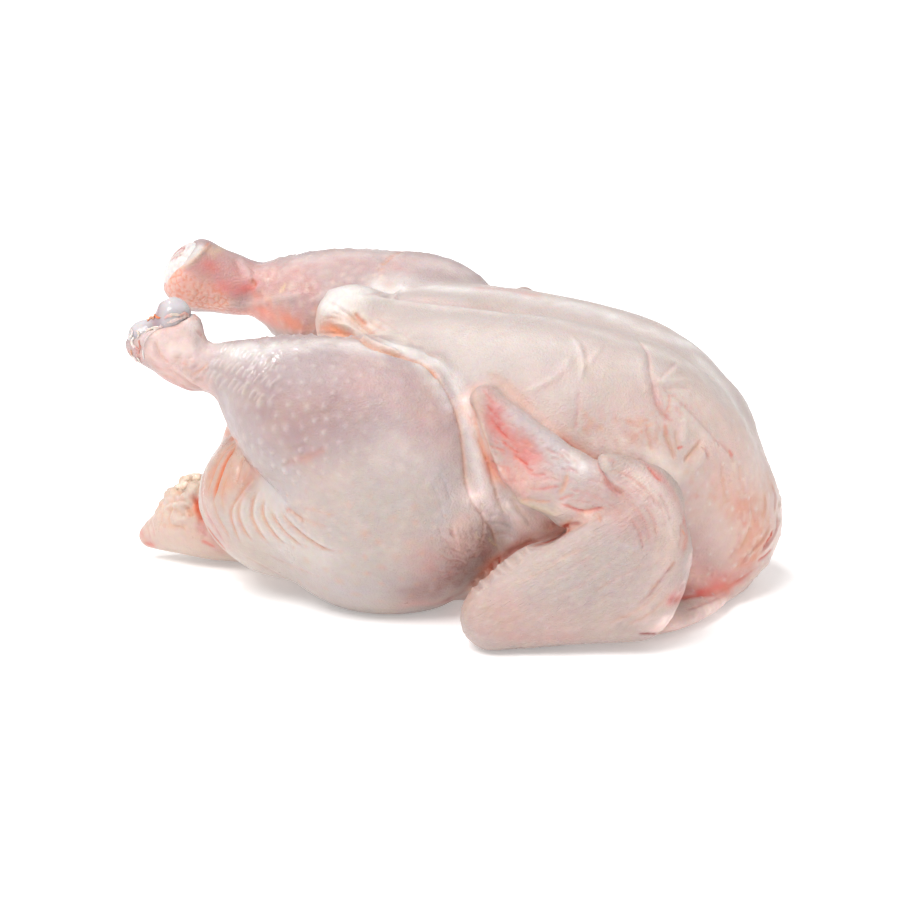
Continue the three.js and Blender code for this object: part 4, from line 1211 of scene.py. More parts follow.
WING_ZONES = [
    wash([(494, 418), (508, 440), (526, 456)], 5.0, TIP_RED, 0.75),
    wash([(520, 438), (530, 448), (538, 456)], 3.4, TIP_RED, 0.9),
    wash([(528, 443), (531, 445)], 1.2, DEEP_ORANGE, 0.5),
    wash([(492, 466), (505, 478), (520, 485)], 5.0, DUSKY_ROSE, 0.6),
    wash([(488, 464), (498, 474), (508, 478)], 2.8, TIP_RED, 0.9),
    wash([(485, 390), (492, 402), (497, 411)], 2.6, TIP_RED, 0.45),
    wash([(525, 470), (545, 476)], 3.2, ROSE, 0.4),
    # The wing tip's cream edge, with painted light over its shaded side.
    wash([(476, 396), (478, 412), (483, 430), (488, 446), (496, 462), (506, 478)], 1.7, TIP_RIM_AND_LIGHT, 0.75),
    wash([(500, 480), (520, 485), (545, 480)], 5, PINK, 0.5),
    wash([(515, 415), (535, 430), (560, 445)], 4, BLUISH, 0.75),
    wash([(545, 445), (565, 460), (590, 470)], 5, BLUISH, 0.6),
    wash([(575, 455), (582, 468)], 2.4, WHITE, 0.6),
    wash([(564, 505), (590, 512)], 4, ELBOW_PINK, 0.7),
    wash([(600, 500), (622, 520), (640, 530)], 7, WING_ROSE, 0.6),
    wash([(610, 540), (640, 545)], 5, BLUISH, 0.25),
    wash([(640, 480), (668, 510), (675, 540)], 6, BREAST_LOW, 0.6),
    wash([(668, 560), (665, 590), (650, 610)], 6, BREAST_LOW, 0.6),
    wash([(640, 480), (662, 498), (672, 520)], 5, HAND_PALE, 0.6),
    wash([(500, 600), (520, 615), (560, 625)], 8, PINK, 0.3),
    wash([(468, 598), (474, 585), (490, 574)], 3, ORANGE, 0.5),
    wash([(474, 610), (490, 612), (505, 622)], 6, WING_ORANGE, 0.6),
    wash([(540, 585), (580, 580), (610, 565)], 7, THIGH_SKIN, 0.4),
    wash([(480, 630), (520, 638), (570, 637)], 3, ROSE, 0.3),
]
WEB_MARKS = [
    wash([(478, 500), (494, 510), (515, 517), (545, 523)], 7, WEB_GLOW, 0.85),
    wash([(466, 530), (472, 548)], 4, HAND_PALE, 0.6),
    wash([(500, 510), (508, 530), (520, 545)], 5, MAUVE, 0.3),
    wash([(500, 505), (512, 528)], 3.4, BLUISH, 0.35),
    wash([(535, 532), (520, 541), (508, 550)], 2.0, WEB_ROSE, 0.6),
    # The slot under the wing tip painted dark red as shade.
    wash([(552, 530), (560, 530)], 2.4, SLOT_RED_AND_SHADE, 0.9),
    # The dark red line along the forearm's upper edge: painted shadow in the crease.
    groove([(566, 527), (550, 534), (534, 541), (522, 547), (511, 552), (503, 558), (495, 563), (484, 574)],
           1.0, 1.1, DARK_RED_AND_SHADE, 0.95),
    wash([(525, 522), (540, 525), (556, 527)], 4.5, WEB_CORAL, 0.8),
    groove([(494, 486), (498, 500), (506, 516)], 0.8, 0.5, ORANGE, 0.35),
    groove([(510, 496), (518, 508), (528, 519)], 0.7, 0.5, ORANGE, 0.3),
    ridge([(506, 500), (516, 514), (530, 527)], 1.1, 0.6, WHITE, 0.35),
    groove([(486, 516), (500, 514), (514, 520)], 0.7, 0.3, BLUISH, 0.4),
    groove([(488, 524), (502, 523), (516, 530)], 0.7, 0.3, BLUISH, 0.4),
    groove([(492, 534), (506, 534), (518, 540)], 0.7, 0.3, MAUVE, 0.4),
    wash([(500, 508), (520, 519), (536, 527)], 4, WEB_CREAM, 0.55),
    # The slot's lower end painted dark red as shade.
    wash([(538, 545), (553, 540), (565, 533)], 2.4, SLOT_RED_AND_SHADE, 0.9),
]
# Wet patches, and where they carry a pale tint, painted highlight as well.
SHINE = [
    wash([(218, 345), (232, 350), (244, 350)], 3.2, PALE_AND_HIGHLIGHT, 0.25, 1.5),
    wash([(247, 346), (257, 353), (264, 362)], 3.4, PALE_AND_HIGHLIGHT, 0.3, 1.8),
    wash([(245, 372), (262, 362), (280, 350), (300, 345)], 4.5, None, 0, 0.8),
    wash([(250, 478), (262, 488), (270, 497), (278, 508)], 4.2, WHITE, 0.2, 1.7),
    wash([(216, 452), (222, 450)], 2.5, WHITE, 0.2, 0.9),
    wash([(234, 456), (238, 470)], 2.0, WHITE, 0.2, 0.8),
    wash([(205, 470), (204, 495)], 2.5, None, 0, 0.5),
    wash([(560, 440), (575, 462)], 4.0, None, 0, 0.6),
    wash([(175, 350), (195, 350)], 3.5, None, 0, 0.6),
]
BOTH_SIDES = LEG_ZONES + FLANK_ZONES + WING_ZONES + LEG_MARKS + wrinkles(THIGH_PATCH) + FLANK_MARKS
BOTH_SIDES += WING_MARKS + WEB_MARKS + NECK_MARKS + SHINE
NEAR_ONLY = BREAST_ZONES + PROW_MARKS + BREAST_FOLDS + ankle_ridges() + wrinkles(ANKLE_PATCH)
NEAR_ONLY += NEAR_HOCK_MARKS + TAIL_MARKS + FAR_LEG_MARKS
NEAR_ONLY += [ridge([(x, y), (x + 1.5, y)], 0.85, 0.45, WHITE, 0.95) for x, y in NECK_BUMPS]


# Skin --------------------------------------------------------------------------------------------

# The softness of the borders between the forms' colours, and the size and seed of the tail's lumps of fat.
BORDER = 1.6
FAT_LUMP, FAT_SEED = 5.5, 14


def owner_shares(points):
    """How much of each point belongs to each form, with soft borders."""
    p = columns(points)
    distances = {"trunk": trunk(p), "tail": tail(p)}
    for side, name in ((NEAR, "near"), (FAR, "far")):
        distances[name + " leg"] = leg(p, side)
        distances[name + " wing"] = wing(p, side)
        distances[name + " tip"] = wing_tip(p, side)
        distances[name + " flank"] = ellipsoid(p, *FLANK, side)
    least = np.min(list(distances.values()), axis=0)
    shares = {name: np.exp(-(d - least) / BORDER) for name, d in distances.items()}
    total = sum(shares.values())
    return {name: share / total for name, share in shares.items()}


def both(shares, name):
    return shares["near " + name] + shares["far " + name]


def towards(tint, goal, amount):
    return tint + amount[:, None] * (np.array(goal) - tint)


def base_tint(points, shares):
    z = points[:, 2]
    leg_tint = towards(np.tile(THIGH_SKIN, (len(points), 1)), CALF, smooth_step(z, 50, 76))
    tint = both(shares, "leg")[:, None] * leg_tint
    tint += shares["trunk"][:, None] * np.array(BREAST) + shares["tail"][:, None] * np.array(TAIL_SKIN)
    tint += (both(shares, "wing") + both(shares, "tip"))[:, None] * np.array(WING_SKIN)
    tint += both(shares, "flank")[:, None] * np.array(FLANK_SKIN)
    tint = towards(tint, BREAST_LOW, shares["trunk"] * (1 - smooth_step(z, 30, 80)) * 0.7)
    between_lumps = np.exp(-(noise(points, FAT_LUMP, FAT_SEED) / 0.14) ** 2)
    return towards(tint, ORANGE, 0.6 * fatness(points, shares) * between_lumps)


def mottled(points, tint):
    """Pinker, yellower and paler patches of every size."""
    tint = towards(tint, PINK, 0.14 * np.clip(noise(points, 15, 3) + 0.6 * noise(points, 6, 4), 0, 1))
    tint = towards(tint, YELLOW, 0.08 * np.clip(noise(points, 11, 5) + 0.6 * noise(points, 4, 6), 0, 1))
    tint = towards(tint, BLUISH, 0.07 * np.clip(noise(points, 13, 8) + 0.6 * noise(points, 5, 9), 0, 1))
    return tint * (1 + 0.035 * noise(points, 2.4, 10)[:, None])


def fatness(points, shares):
    """Where the tail is covered in lumps of fat."""
    return shares["tail"] * smooth_step(points[:, 2], 10, 26)


def uneven(points, shares):
    """The soft lumps of the flesh under the skin."""
    height = 0.5 * noise(points, 19, 11) + 0.26 * noise(points, 8, 12) + 0.10 * noise(points, 3.6, 13)
    lumps = 2.6 * np.abs(noise(points, FAT_LUMP, FAT_SEED)) + 1.8 * np.abs(noise(points, 3, 15)) - 1.0
    height += fatness(points, shares) * lumps
    height += 0.35 * both(shares, "tip") * noise(points, 4, 16)
    return height * smooth_step(points[:, 2], 0, 3)


def scatter(points, weight, spacing, seed):
    """Points at least spacing apart where the weight isn't low."""
    order = np.random.default_rng(seed).permutation(np.nonzero(weight > LEAST_WEIGHT)[0])
    keys = np.floor(points / spacing).astype(int)
    taken = {}
    chosen = []
    for i in order:
        x, y, z = keys[i]
        around = ((x + di, y + dj, z + dk) for di in (-1, 0, 1) for dj in (-1, 0, 1) for dk in (-1, 0, 1))
        others = [other for key in around for other in taken.get(key, ())]
        if all(math.dist(points[i], points[other]) >= spacing for other in others):
            taken.setdefault((x, y, z), []).append(i)
            chosen.append(i)
    return np.array(chosen)


# Kinds of bumps, their sizes in millimetres; they stand where their weight is over the least.
LEAST_WEIGHT = 0.08
Bumps = namedtuple("Bumps", "spacing radius height tint strength seed")
GOOSE_BUMPS = Bumps(4.4, 1.1, 0.95, WHITE, 0.34, 21)
FAINT_BUMPS = Bumps(5.2, 1.5, 0.28, WHITE, 0.22, 31)
FOLLICLES = Bumps(2.7, 0.85, 0.26, WHITE, 0.14, 51)
PIMPLES = Bumps(6.5, 0.7, 0.35, WHITE, 0.6, 61)
PORES = Bumps(6.0, 0.7, -0.15, ORANGE, 0.35, 41)


def add_bumps(skin, weight, bumps, lean=None):
    """Raises scattered bumps. A lean is a direction, and how far each bump is drawn out along it."""
    points = skin["points"]
    chosen = scatter(points, weight, bumps.spacing, bumps.seed)
    tree = KDTree(len(chosen))
    for number, i in enumerate(chosen):
        tree.insert(points[i], number)
    tree.balance()
    random = np.random.default_rng(bumps.seed + 1)
    size = random.uniform(0.55, 1.2, len(chosen)) * weight[chosen]
    radius = bumps.radius * random.uniform(0.8, 1.2, len(chosen))
    near = np.nonzero(weight > 0.02)[0]
    index = np.array([tree.find(points[i])[1] for i in near])
    offset = points[near] - points[chosen[index]]
    squared = (offset ** 2).sum(1)
    if lean is not None:
        direction, stretch = lean
        squared = squared - stretch[near] * (offset @ np.array(direction)) ** 2
    profile = np.exp(-np.maximum(squared, 0) / radius[index] ** 2) * size[index]
    skin["height"][near] += bumps.height * profile
    skin["tint"][near] = towards(skin["tint"][near], bumps.tint, bumps.strength * profile)


def bump_weights(points, shares):
    """Where each kind of bump stands, from 0 to 1."""
    x, _, z = points.T
    legs = both(shares, "leg")
    wings = both(shares, "wing")
    shin = smooth_step(x, -92, -84)
    calf = legs * smooth_step(z, 50, 66) * (1 - smooth_step(x, -50, 2)) * shin
    behind_ridges = 1 - shares["near leg"] * (1 - smooth_step(x, -74, -62)) * 0.7
    neck = shares["trunk"] * smooth_step(x, 62, 95) * (1 - smooth_step(z, 60, 90))
    faint = 0.8 * legs * smooth_step(x, -34, -4) * smooth_step(z, 48, 66)
    thigh = legs * (1 - smooth_step(z, 50, 66)) * smooth_step(z, 6, 14)
    return {
        GOOSE_BUMPS: calf * behind_ridges * (1 - 0.4 * shares["far leg"]),
        FAINT_BUMPS: faint,
        FOLLICLES: 0.9 * wings + 0.4 * both(shares, "tip"),
        PIMPLES: neck,
        PORES: 0.9 * thigh,
    }


# Where the far hock is scaly, and the ways in which the ankle's bumps and the forearm's are drawn out.
SCALY = [wash([(172, 284), (182, 288), (194, 295), (212, 302)], 7.0, None, 0)]
SCALE_SPACING, SCALE_SEAM_WIDTH, SCALE_SEED = 2.1, 0.45, 71
ANKLE_LEAN = (0.45, 0.35, 0.82)
FOREARM_LEAN = (0.84, 0, 0.54)


def all_bumps(skin, shares):
    x = skin["points"][:, 0]
    leans = {
        GOOSE_BUMPS: (ANKLE_LEAN, 0.7 * (1 - smooth_step(x, -70, -48))),
        FOLLICLES: (FOREARM_LEAN, np.full(len(x), 0.8)),
    }
    for bumps, weight in bump_weights(skin["points"], shares).items():
        add_bumps(skin, weight, bumps, leans.get(bumps))


def add_scales(skin, laid):
    """A net of small round scales with orange seams."""
    points = skin["points"]
    chosen, _, gap = nearest_on(points, laid, 2.4 * laid.mark.width)
    near = smooth_step(np.exp(-(gap / laid.mark.width) ** 2), 0.1, 0.6)
    middles = points[chosen][scatter(points[chosen], near, SCALE_SPACING, SCALE_SEED)]
    gaps = np.sort(np.linalg.norm(points[chosen][:, None] - middles[None], axis=2), axis=1)
    seam = np.exp(-((gaps[:, 1] - gaps[:, 0]) / SCALE_SEAM_WIDTH) ** 2) * near
    skin["height"][chosen] += 0.22 * (1 - gaps[:, 0] / SCALE_SPACING) * near - 0.18 * seam
    skin["tint"][chosen] = towards(skin["tint"][chosen], SCALE_PINK, 0.7 * near)
    skin["tint"][chosen] = towards(skin["tint"][chosen], SCALE_SEAM, 0.85 * seam)


def speckle(skin, laid, size, seed, tint, strength):
    """Small blotches of a colour round a track."""
    chosen, _, gap = nearest_on(skin["points"], laid, 2.4 * laid.mark.width)
    near = np.exp(-(gap / laid.mark.width) ** 2)
    blotch = smooth_step(noise(skin["points"][chosen], size, seed), 0.15, 0.55)
    skin["tint"][chosen] = towards(skin["tint"][chosen], tint, strength * near * blotch)


# Each: where, the size of the blotches in millimetres, seed, tint and strength.
SPECKLED = [
    (wash([(585, 425), (620, 432), (655, 428)], 7, None, 0), 1.7, 81, ORANGE, 0.5),
    (wash([(600, 428), (640, 425), (690, 400)], 8, None, 0), 1.1, 82, RED, 0.22),
    (wash([(690, 480), (730, 500), (760, 500)], 9, None, 0), 2.2, 83, ORANGE, 0.35),
    (wash([(700, 440), (745, 480), (750, 540)], 10, None, 0), 2.0, 89, FLECK, 0.35),
    (wash([(300, 520), (360, 530), (420, 520)], 15, None, 0), 1.8, 84, CREAM, 0.3),
    # Dark red flecks over the thigh's underside by the wing, partly painted shade.
    (wash([(450, 590), (470, 560), (485, 530)], 7, None, 0), 1.3, 85, DARK_RED_AND_SHADE, 0.25),
    (wash([(280, 420), (330, 410), (400, 400)], 14, None, 0), 1.9, 86, ROSY, 0.25),
    (wash([(300, 275), (350, 270), (400, 270)], 9, None, 0), 2.4, 87, ROSE, 0.45),
    (wash([(270, 284), (320, 282), (380, 276)], 7, None, 0), 1.6, 90, FLECK, 0.5),
    (wash([(500, 430), (520, 455), (500, 475)], 6, None, 0), 1.2, 88, RED, 0.3),
]


# The forearm's back edge, the spacing of its follicles, and the short tracks of a follicle and of the dent
# beside it, from the edge inwards, in pixels.
WING_EDGE = [(468, 592), (484, 578), (498, 567), (514, 558), (530, 547)]
FOLLICLE_SPACING = 10.5
FOLLICLE_TRACK = [(-0.5, -2.5), (2, 1), (6, 5)]
DENT_TRACK = [(-1, -3.5), (1, 0), (4, 4)]


def wing_scallops():
    """The rounded follicles along the back edge of each folded forearm, with the dents between them."""
    pixels = smooth_path(WING_EDGE, 4)
    length = sum(math.dist(a, b) for a, b in zip(pixels, pixels[1:]))
    count = round(length / FOLLICLE_SPACING)
    starts = [pixels[round((i + 0.5) / count * (len(pixels) - 1))] for i in range(count)]
    between = [(first + second) / 2 for first, second in zip(starts, starts[1:])]
    follicles = [ridge(moved(FOLLICLE_TRACK, *at), 1.1, 0.7, CREAM, 0.15) for at in starts]
    return follicles + [groove(moved(DENT_TRACK, *at), 0.75, 0.8, ROSE, 0.12) for at in between]


# The skin's triangles are split once near folds up to COARSE_WIDTH wide, and again near those up to
# FINE_WIDTH and where it is scaly.
FINE_WIDTH, COARSE_WIDTH, SCALY_WIDTH = 1.25, 4.0, 9


def near_relief(points, laid_marks, widest, reach):
    """The points close to a fold or crease that is at most so wide, within reach times its width and 1 mm."""
    close = np.zeros(len(points), bool)
    for laid in laid_marks:
        mark = laid.mark
        if (mark.height or mark.tint is None) and mark.width <= widest:
            chosen, _, _ = nearest_on(points, laid, reach * mark.width + 1.0)
            close[chosen] = True
    return close


# How far crevices are felt, and for each colour in them its strength and the range over which it sets in.
# The crevices' colours are painted light: an orange glow as if lit through the flesh, and dark red painted
# shade in the deepest.
CREVICE_REACH = 4.0
CREVICE_PAINTED_LIGHT_AND_SHADE = [(CREVICE_PAINTED_GLOW, 0.65, (0.1, 0.9)), (DEEPEST_PAINTED_SHADE, 0.9, (0.6, 1.0))]


def paint_crevice_light_and_shade(skin):
    """Paints each point as far as it is closed in by the skin around it: orange painted light, as if lit
    through the flesh, and dark red painted shade in the deepest crevices.
    """
    away = skin["points"] + CREVICE_REACH * skin["normals"]
    closed_in = np.clip(1 - skin_distance(columns(away)) / CREVICE_REACH, 0, 1)
    for tint, strength, span in CREVICE_PAINTED_LIGHT_AND_SHADE:
        skin["tint"] = towards(skin["tint"], tint, strength * smooth_step(closed_in, *span))


def back_on_skin(points, faces):
    """Puts the points of a split mesh back on the surface."""
    points = settle(relax(points, faces, 1), skin_distance, 1)
    return relax(points, faces, 1, 0.4)


def make_skin():
    points, faces = mesh_of(skin_distance, *SKIN_BOX, SKIN_CELL)
    points = relax(settle(points, skin_distance, 2), faces, 2)
    tree = tree_over(points, faces)
    shared_marks = BOTH_SIDES + wing_scallops()
    near_marks = lay(tree, NEAR_ONLY + shared_marks)
    far_marks = lay(tree, shared_marks, mirrored=True)
    laid_scales = lay(tree, SCALY)
    shares = owner_shares(points)
    bumpy = sum(bump_weights(points, shares).values()) - 0.9 * both(shares, "leg")
    lumpy = (shares["tail"] > 0.5) & (points[:, 2] > 3)
    fine = (bumpy > 0.3) | lumpy | near_relief(points, near_marks, COARSE_WIDTH, 1.4)
    fine |= near_relief(points, far_marks, FINE_WIDTH, 1.0)
    points, faces = refine(points, faces, fine[faces].any(1))
    points = back_on_skin(points, faces)
    shares = owner_shares(points)
    near_calf = (shares["near leg"] > 0.5) & (bump_weights(points, shares)[GOOSE_BUMPS] > 0.25)
    fat = fatness(points, shares) > 0.4
    finest = near_calf | fat | near_relief(points, near_marks, FINE_WIDTH, 1.0)
    finest |= near_relief(points, laid_scales, SCALY_WIDTH, 1.2)
    points, faces = refine(points, faces, finest[faces].all(1))
    points = back_on_skin(points, faces)
    shares = owner_shares(points)
    skin = {
        "points": points,
        "faces": faces,
        "normals": normals_of(points, faces),
        "tint": base_tint(points, shares),
        "height": uneven(points, shares),
        "wet": 0.22 + 0.22 * noise(points, 9, 7) + 0.1 * noise(points, 3, 17),
        "mottle": np.clip(0.9 + 0.4 * noise(points, 5, 18) + 0.3 * noise(points, 2.2, 19), 0.3, 1.4),
        "shares": shares,
    }
    for laid in near_marks + far_marks:
        apply_mark(skin, laid)
    for track, size, seed, tint, strength in SPECKLED:
        for laid in lay(tree, [track]) + lay(tree, [track], mirrored=True):
            speckle(skin, laid, size, seed, tint, strength)
    skin["tint"] = mottled(points, skin["tint"])
    # Crevices painted: orange light glowing through the flesh, dark red shade in the deepest.
    paint_crevice_light_and_shade(skin)
    all_bumps(skin, shares)
    for laid in laid_scales:
        add_scales(skin, laid)
    return skin


def skin_piece(skin):
    points = skin["points"] + skin["normals"] * skin["height"][:, None]
    points[:, 2] = np.maximum(points[:, 2], 0)
    shares = skin["shares"]
    streaks = np.stack([both(shares, "wing"), both(shares, "leg"), both(shares, "tip")], 1)
    attributes = [
        ("tint", np.clip(skin["tint"], 0, 1)), ("wet", np.clip(skin["wet"], 0, 1.2)), ("streaks", streaks),
    ]
    return mesh_object("skin", points, skin["faces"], attributes)


# Joint ends and loose tissue -----------------------------------------------------------------------

def near_cartilage(p):
    upper, saddle, lower = (ellipsoid(p, *condyle, NEAR) for condyle in CONDYLES)
    return blend(blend(upper, saddle, 4), lower, 4)


def far_bone(p):
    axis = unit(CUT_NORMAL)
    level = unit(np.cross(axis, (0, 0, 1)))
    q = from_point(p, far_cut_centre())
    local = [along(q, axis), along(q, level), along(q, np.cross(level, axis))]
    return ellipsoid(local, (-BONE_DEPTH, 0, 0), BONE_RADII)


CARTILAGE_WET, BONE_WET, TISSUE_WET = 1.0, 0.5, 0.9
MARROW_PLACE = (179, 251)
MARROW_RADII = (2.8, 6.2)
CARTILAGE_REACH, BONE_REACH, BONE_CELL = 18, 14, 0.5
SADDLE_WIDTH = 2.6
# The way the knobs face where their paler painted light falls.
GRISTLE_LIGHT_SIDE = (0.3, 0, 0.95)


def small_piece(name, points, faces, tint, wetness):
    return mesh_object(name, points, faces, [("tint", tint), ("wet", np.full(len(points), wetness))])


def make_cartilage():
    points, faces = small_surface(near_cartilage, on_side(CONDYLES[1][0], NEAR), CARTILAGE_REACH)
    lumps = 0.25 * noise(points, 4, 51) + 0.1 * noise(points, 1.8, 53)
    points = points + normals_of(points, faces) * lumps[:, None]
    # The saddle between the knobs is painted mauve as shade, and their upward sides paler as painted light.
    saddle = np.exp(-((points[:, 0] - CONDYLES[1][0][0]) / SADDLE_WIDTH) ** 2)
    lit_side = smooth_step(normals_of(points, faces) @ GRISTLE_LIGHT_SIDE, 0.2, 0.9)
    tint = np.tile(GRISTLE, (len(points), 1)) * (1 + 0.16 * noise(points, 3, 52)[:, None])
    tint = towards(tint, GRISTLE_PAINTED_LIGHT, 0.5 * lit_side)
    tint = towards(tint, SADDLE_PAINTED_SHADE, 0.7 * saddle)
    return small_piece("hock_cartilage", points, faces, tint, CARTILAGE_WET)


def make_bone():
    points, faces = small_surface(far_bone, far_cut_centre(), BONE_REACH, BONE_CELL)
    middle = np.array(tree_over(points, faces).ray_cast(*view_ray(*MARROW_PLACE))[0])
    off = np.linalg.norm(points - middle, axis=1)
    spongy = np.clip(0.5 + 0.8 * noise(points, 1.3, 62) + 0.4 * noise(points, 0.7, 64), 0, 1)
    marrow = (1 - smooth_step(off, *MARROW_RADII)) * spongy
    points = points + normals_of(points, faces) * (0.3 * noise(points, 1.6, 61) - 0.5 * marrow)[:, None]
    tint = np.tile(BONE, (len(points), 1)) * (1 + 0.08 * noise(points, 1.4, 63)[:, None])
    tint = towards(tint, MARROW, 0.9 * marrow)
    return small_piece("shin_bone_end", points, faces, tint, BONE_WET)


# A strand of tissue lies along a track: its radius in millimetres, tint, and how far it stands out.
Strand = namedtuple("Strand", "track radius tint proud")

HOCK_STRANDS = [
    Strand([(131, 329), (133, 333), (131, 337)], 0.55, WHITE, 0.3),
    Strand([(134, 338), (132, 342), (134, 347)], 0.6, WHITE, 0.3),
    Strand([(137, 331), (139, 334), (138, 338)], 0.45, CREAM, 0.3),
    Strand([(136, 346), (138, 350), (137, 354)], 0.5, PINK, 0.2),
    Strand([(131, 350), (132, 355)], 0.45, ORANGE, 0.2),
    Strand([(139, 341), (140, 347), (139, 353)], 0.5, FLESH, 0.1),
    Strand([(133, 356), (136, 360), (135, 365)], 0.6, WHITE, 0.3),
    Strand([(138, 358), (141, 364), (140, 370)], 0.5, CREAM, 0.2),
    Strand([(132, 362), (134, 368)], 0.5, ORANGE, 0.2),
    Strand([(143, 352), (144, 358)], 0.45, WHITE, 0.3),
    Strand([(165, 318), (168, 316), (171, 316)], 0.5, MAUVE, 0.3),
    Strand([(171, 315), (175, 314), (178, 315)], 0.6, CREAM, 0.3),
    Strand([(180, 315), (184, 313), (187, 314)], 0.55, PINK, 0.3),
    Strand([(148, 321), (151, 318), (154, 318)], 0.55, ORANGE, 0.4),
    Strand([(155, 315), (157, 317), (160, 318)], 0.5, DEEP_ORANGE, 0.3),
    Strand([(145, 333), (150, 329), (156, 327)], 0.55, CREAM, 0.2),
    Strand([(188, 316), (178, 319), (168, 323), (158, 328), (150, 334)], 0.8, SLEEVE_SKIN, -0.35),
    Strand([(150, 334), (145, 341), (143, 350)], 0.7, SLEEVE_SKIN, -0.35),
]
TAIL_STRANDS = [
    Strand([(184, 482), (190, 479), (198, 479)], 1.6, FAT, -0.2),
    Strand([(178, 486), (182, 486), (186, 484)], 1.4, FAT, -0.2),
    Strand([(187, 478), (193, 476), (199, 476)], 1.3, FAT, -0.1),
]


HOCK_SEED, TAIL_SEED = 91, 95
STRAND_SEAM = 0.35
STRAND_MARGIN = 3


def tissue_piece(name, strands, tree, seed):
    """Strands of fat and torn tissue lying on what is under them."""
    balls = []
    for number, strand in enumerate(strands):
        for pixel in smooth_path(strand.track, 3):
            place, normal = tree.ray_cast(*view_ray(*pixel))[:2]
            if place is not None:
                balls.append((place + normal * strand.radius * strand.proud, strand.radius, number))
    centres = np.array([ball[0] for ball in balls])
    swell = 1 + 0.28 * noise(centres, 1.1, seed)
    radii = np.array([ball[1] for ball in balls]) * swell

    def distance(p):
        result = 1e3
        for centre, radius in zip(centres, radii):
            gap = np.sqrt(sum((axis - c) ** 2 for axis, c in zip(p, centre))) - radius
            result = blend(result, gap, STRAND_SEAM)
        return result

    low, high = centres.min(0) - STRAND_MARGIN, centres.max(0) + STRAND_MARGIN
    points, faces = mesh_of(distance, low, high, STRAND_CELL)
    points = relax(points, faces, 1)
    points = points + normals_of(points, faces) * (0.16 * noise(points, 1.2, seed + 1))[:, None]
    gaps = np.linalg.norm(points[:, None] - centres[None], axis=2) - radii
    tints = np.array([strands[ball[2]].tint for ball in balls])
    shares = np.exp(-np.maximum(gaps, 0) / 0.3)
    tint = shares @ tints / shares.sum(1)[:, None]
    tint = tint * (1 + 0.12 * noise(points, 1.3, seed + 2)[:, None])
    return small_piece(name, points, faces, np.clip(tint, 0, 1), TISSUE_WET)


# Materials ---------------------------------------------------------------------------------------

def add_node(tree, kind, inputs=(), **settings):
    node = tree.nodes.new(kind)
    for name, value in settings.items():
        setattr(node, name, value)
    for name, value in dict(inputs).items():
        socket = node.inputs[name]
        if isinstance(value, bpy.types.NodeSocket):
            tree.links.new(value, socket)
        else:
            socket.default_value = value
    return node


def times(tree, a, b):
    return add_node(tree, "ShaderNodeMath", {0: a, 1: b}, operation="MULTIPLY").outputs[0]


def plus(tree, a, b):
    return add_node(tree, "ShaderNodeMath", {0: a, 1: b}, operation="ADD").outputs[0]


def scaled(tree, vector, factors):
    return add_node(tree, "ShaderNodeVectorMath", {0: vector, 1: factors}, operation="MULTIPLY").outputs[0]


# How much the noise of fine lines is squeezed along each axis: long ahead, short across.
LINE_SQUEEZE = (0.16, 0.6, 1.0)


def line_relief(tree, place, turn, spacing):
    """Fine parallel lines, the direction turned by so many degrees about the crosswise axis."""
    angle = math.radians(turn)
    turn_inputs = {"Vector": place, "Angle": angle}
    turned = add_node(tree, "ShaderNodeVectorRotate", turn_inputs, rotation_type="Y_AXIS")
    lines = add_node(tree, "ShaderNodeTexNoise", {
        "Vector": scaled(tree, turned.outputs[0], LINE_SQUEEZE), "Scale": 1.0 / (spacing * MM),
        "Detail": 3.0, "Roughness": 0.55, "Distortion": 0.4,
    })
    return lines.outputs["Fac"]


def streaked_relief(tree, place):
    """The lines of the wings, legs and wing tips, each where the mesh says."""
    streaks = add_node(tree, "ShaderNodeAttribute", attribute_name="streaks").outputs["Color"]
    share = add_node(tree, "ShaderNodeSeparateColor", {"Color": streaks}).outputs
    forearm = times(tree, line_relief(tree, place, 33, 0.85), share["Red"])
    shank = times(tree, line_relief(tree, place, 12, 1.1), share["Green"])
    tip = times(tree, line_relief(tree, place, -24, 1.0), share["Blue"])
    return plus(tree, plus(tree, times(tree, forearm, 3.0), times(tree, shank, 1.0)), times(tree, tip, 2.6))


# Roughness dry and wet, the share of subsurface light, and the grain's size and depth in millimetres.
Flesh = namedtuple("Flesh", "dry wet subsurface grain depth streaked", defaults=(False,))
SKIN_FLESH = Flesh(0.42, 0.12, 0.18, 0.8, 0.18, streaked=True)
TISSUE_FLESH = Flesh(0.35, 0.12, 0.25, 0.6, 0.1)
CARTILAGE_FLESH = Flesh(0.3, 0.1, 0.3, 2.0, 0.05)
BONE_FLESH = Flesh(0.5, 0.25, 0.3, 0.7, 0.2)
# The range of the fine blotches' shading, the scatter's colours and depth in metres, and the film of water.
BLOTCH_DARK, BLOTCH_LIGHT = (0.965, 0.94, 0.935), (1.03, 1.05, 1.055)
SCATTER_RADIUS, SCATTER_DEPTH = (1.0, 0.42, 0.28), 0.0022
FLESH_IOR = 1.42
FILM_WETNESS, FILM_BUMP = (0.2, 0.5), 0.2


def blotched(tree, place, tint):
    """The tint with fine blotches over it."""
    noise_inputs = {"Vector": place, "Scale": 420.0, "Detail": 5.0, "Roughness": 0.65}
    blotch = add_node(tree, "ShaderNodeTexNoise", noise_inputs)
    shade = add_node(tree, "ShaderNodeMapRange", {
        "Vector": blotch.outputs["Color"], "From Min": (0.3, 0.3, 0.3), "From Max": (0.7, 0.7, 0.7),
        "To Min": BLOTCH_DARK, "To Max": BLOTCH_LIGHT,
    }, data_type="FLOAT_VECTOR")
    return scaled(tree, tint, shade.outputs["Vector"])


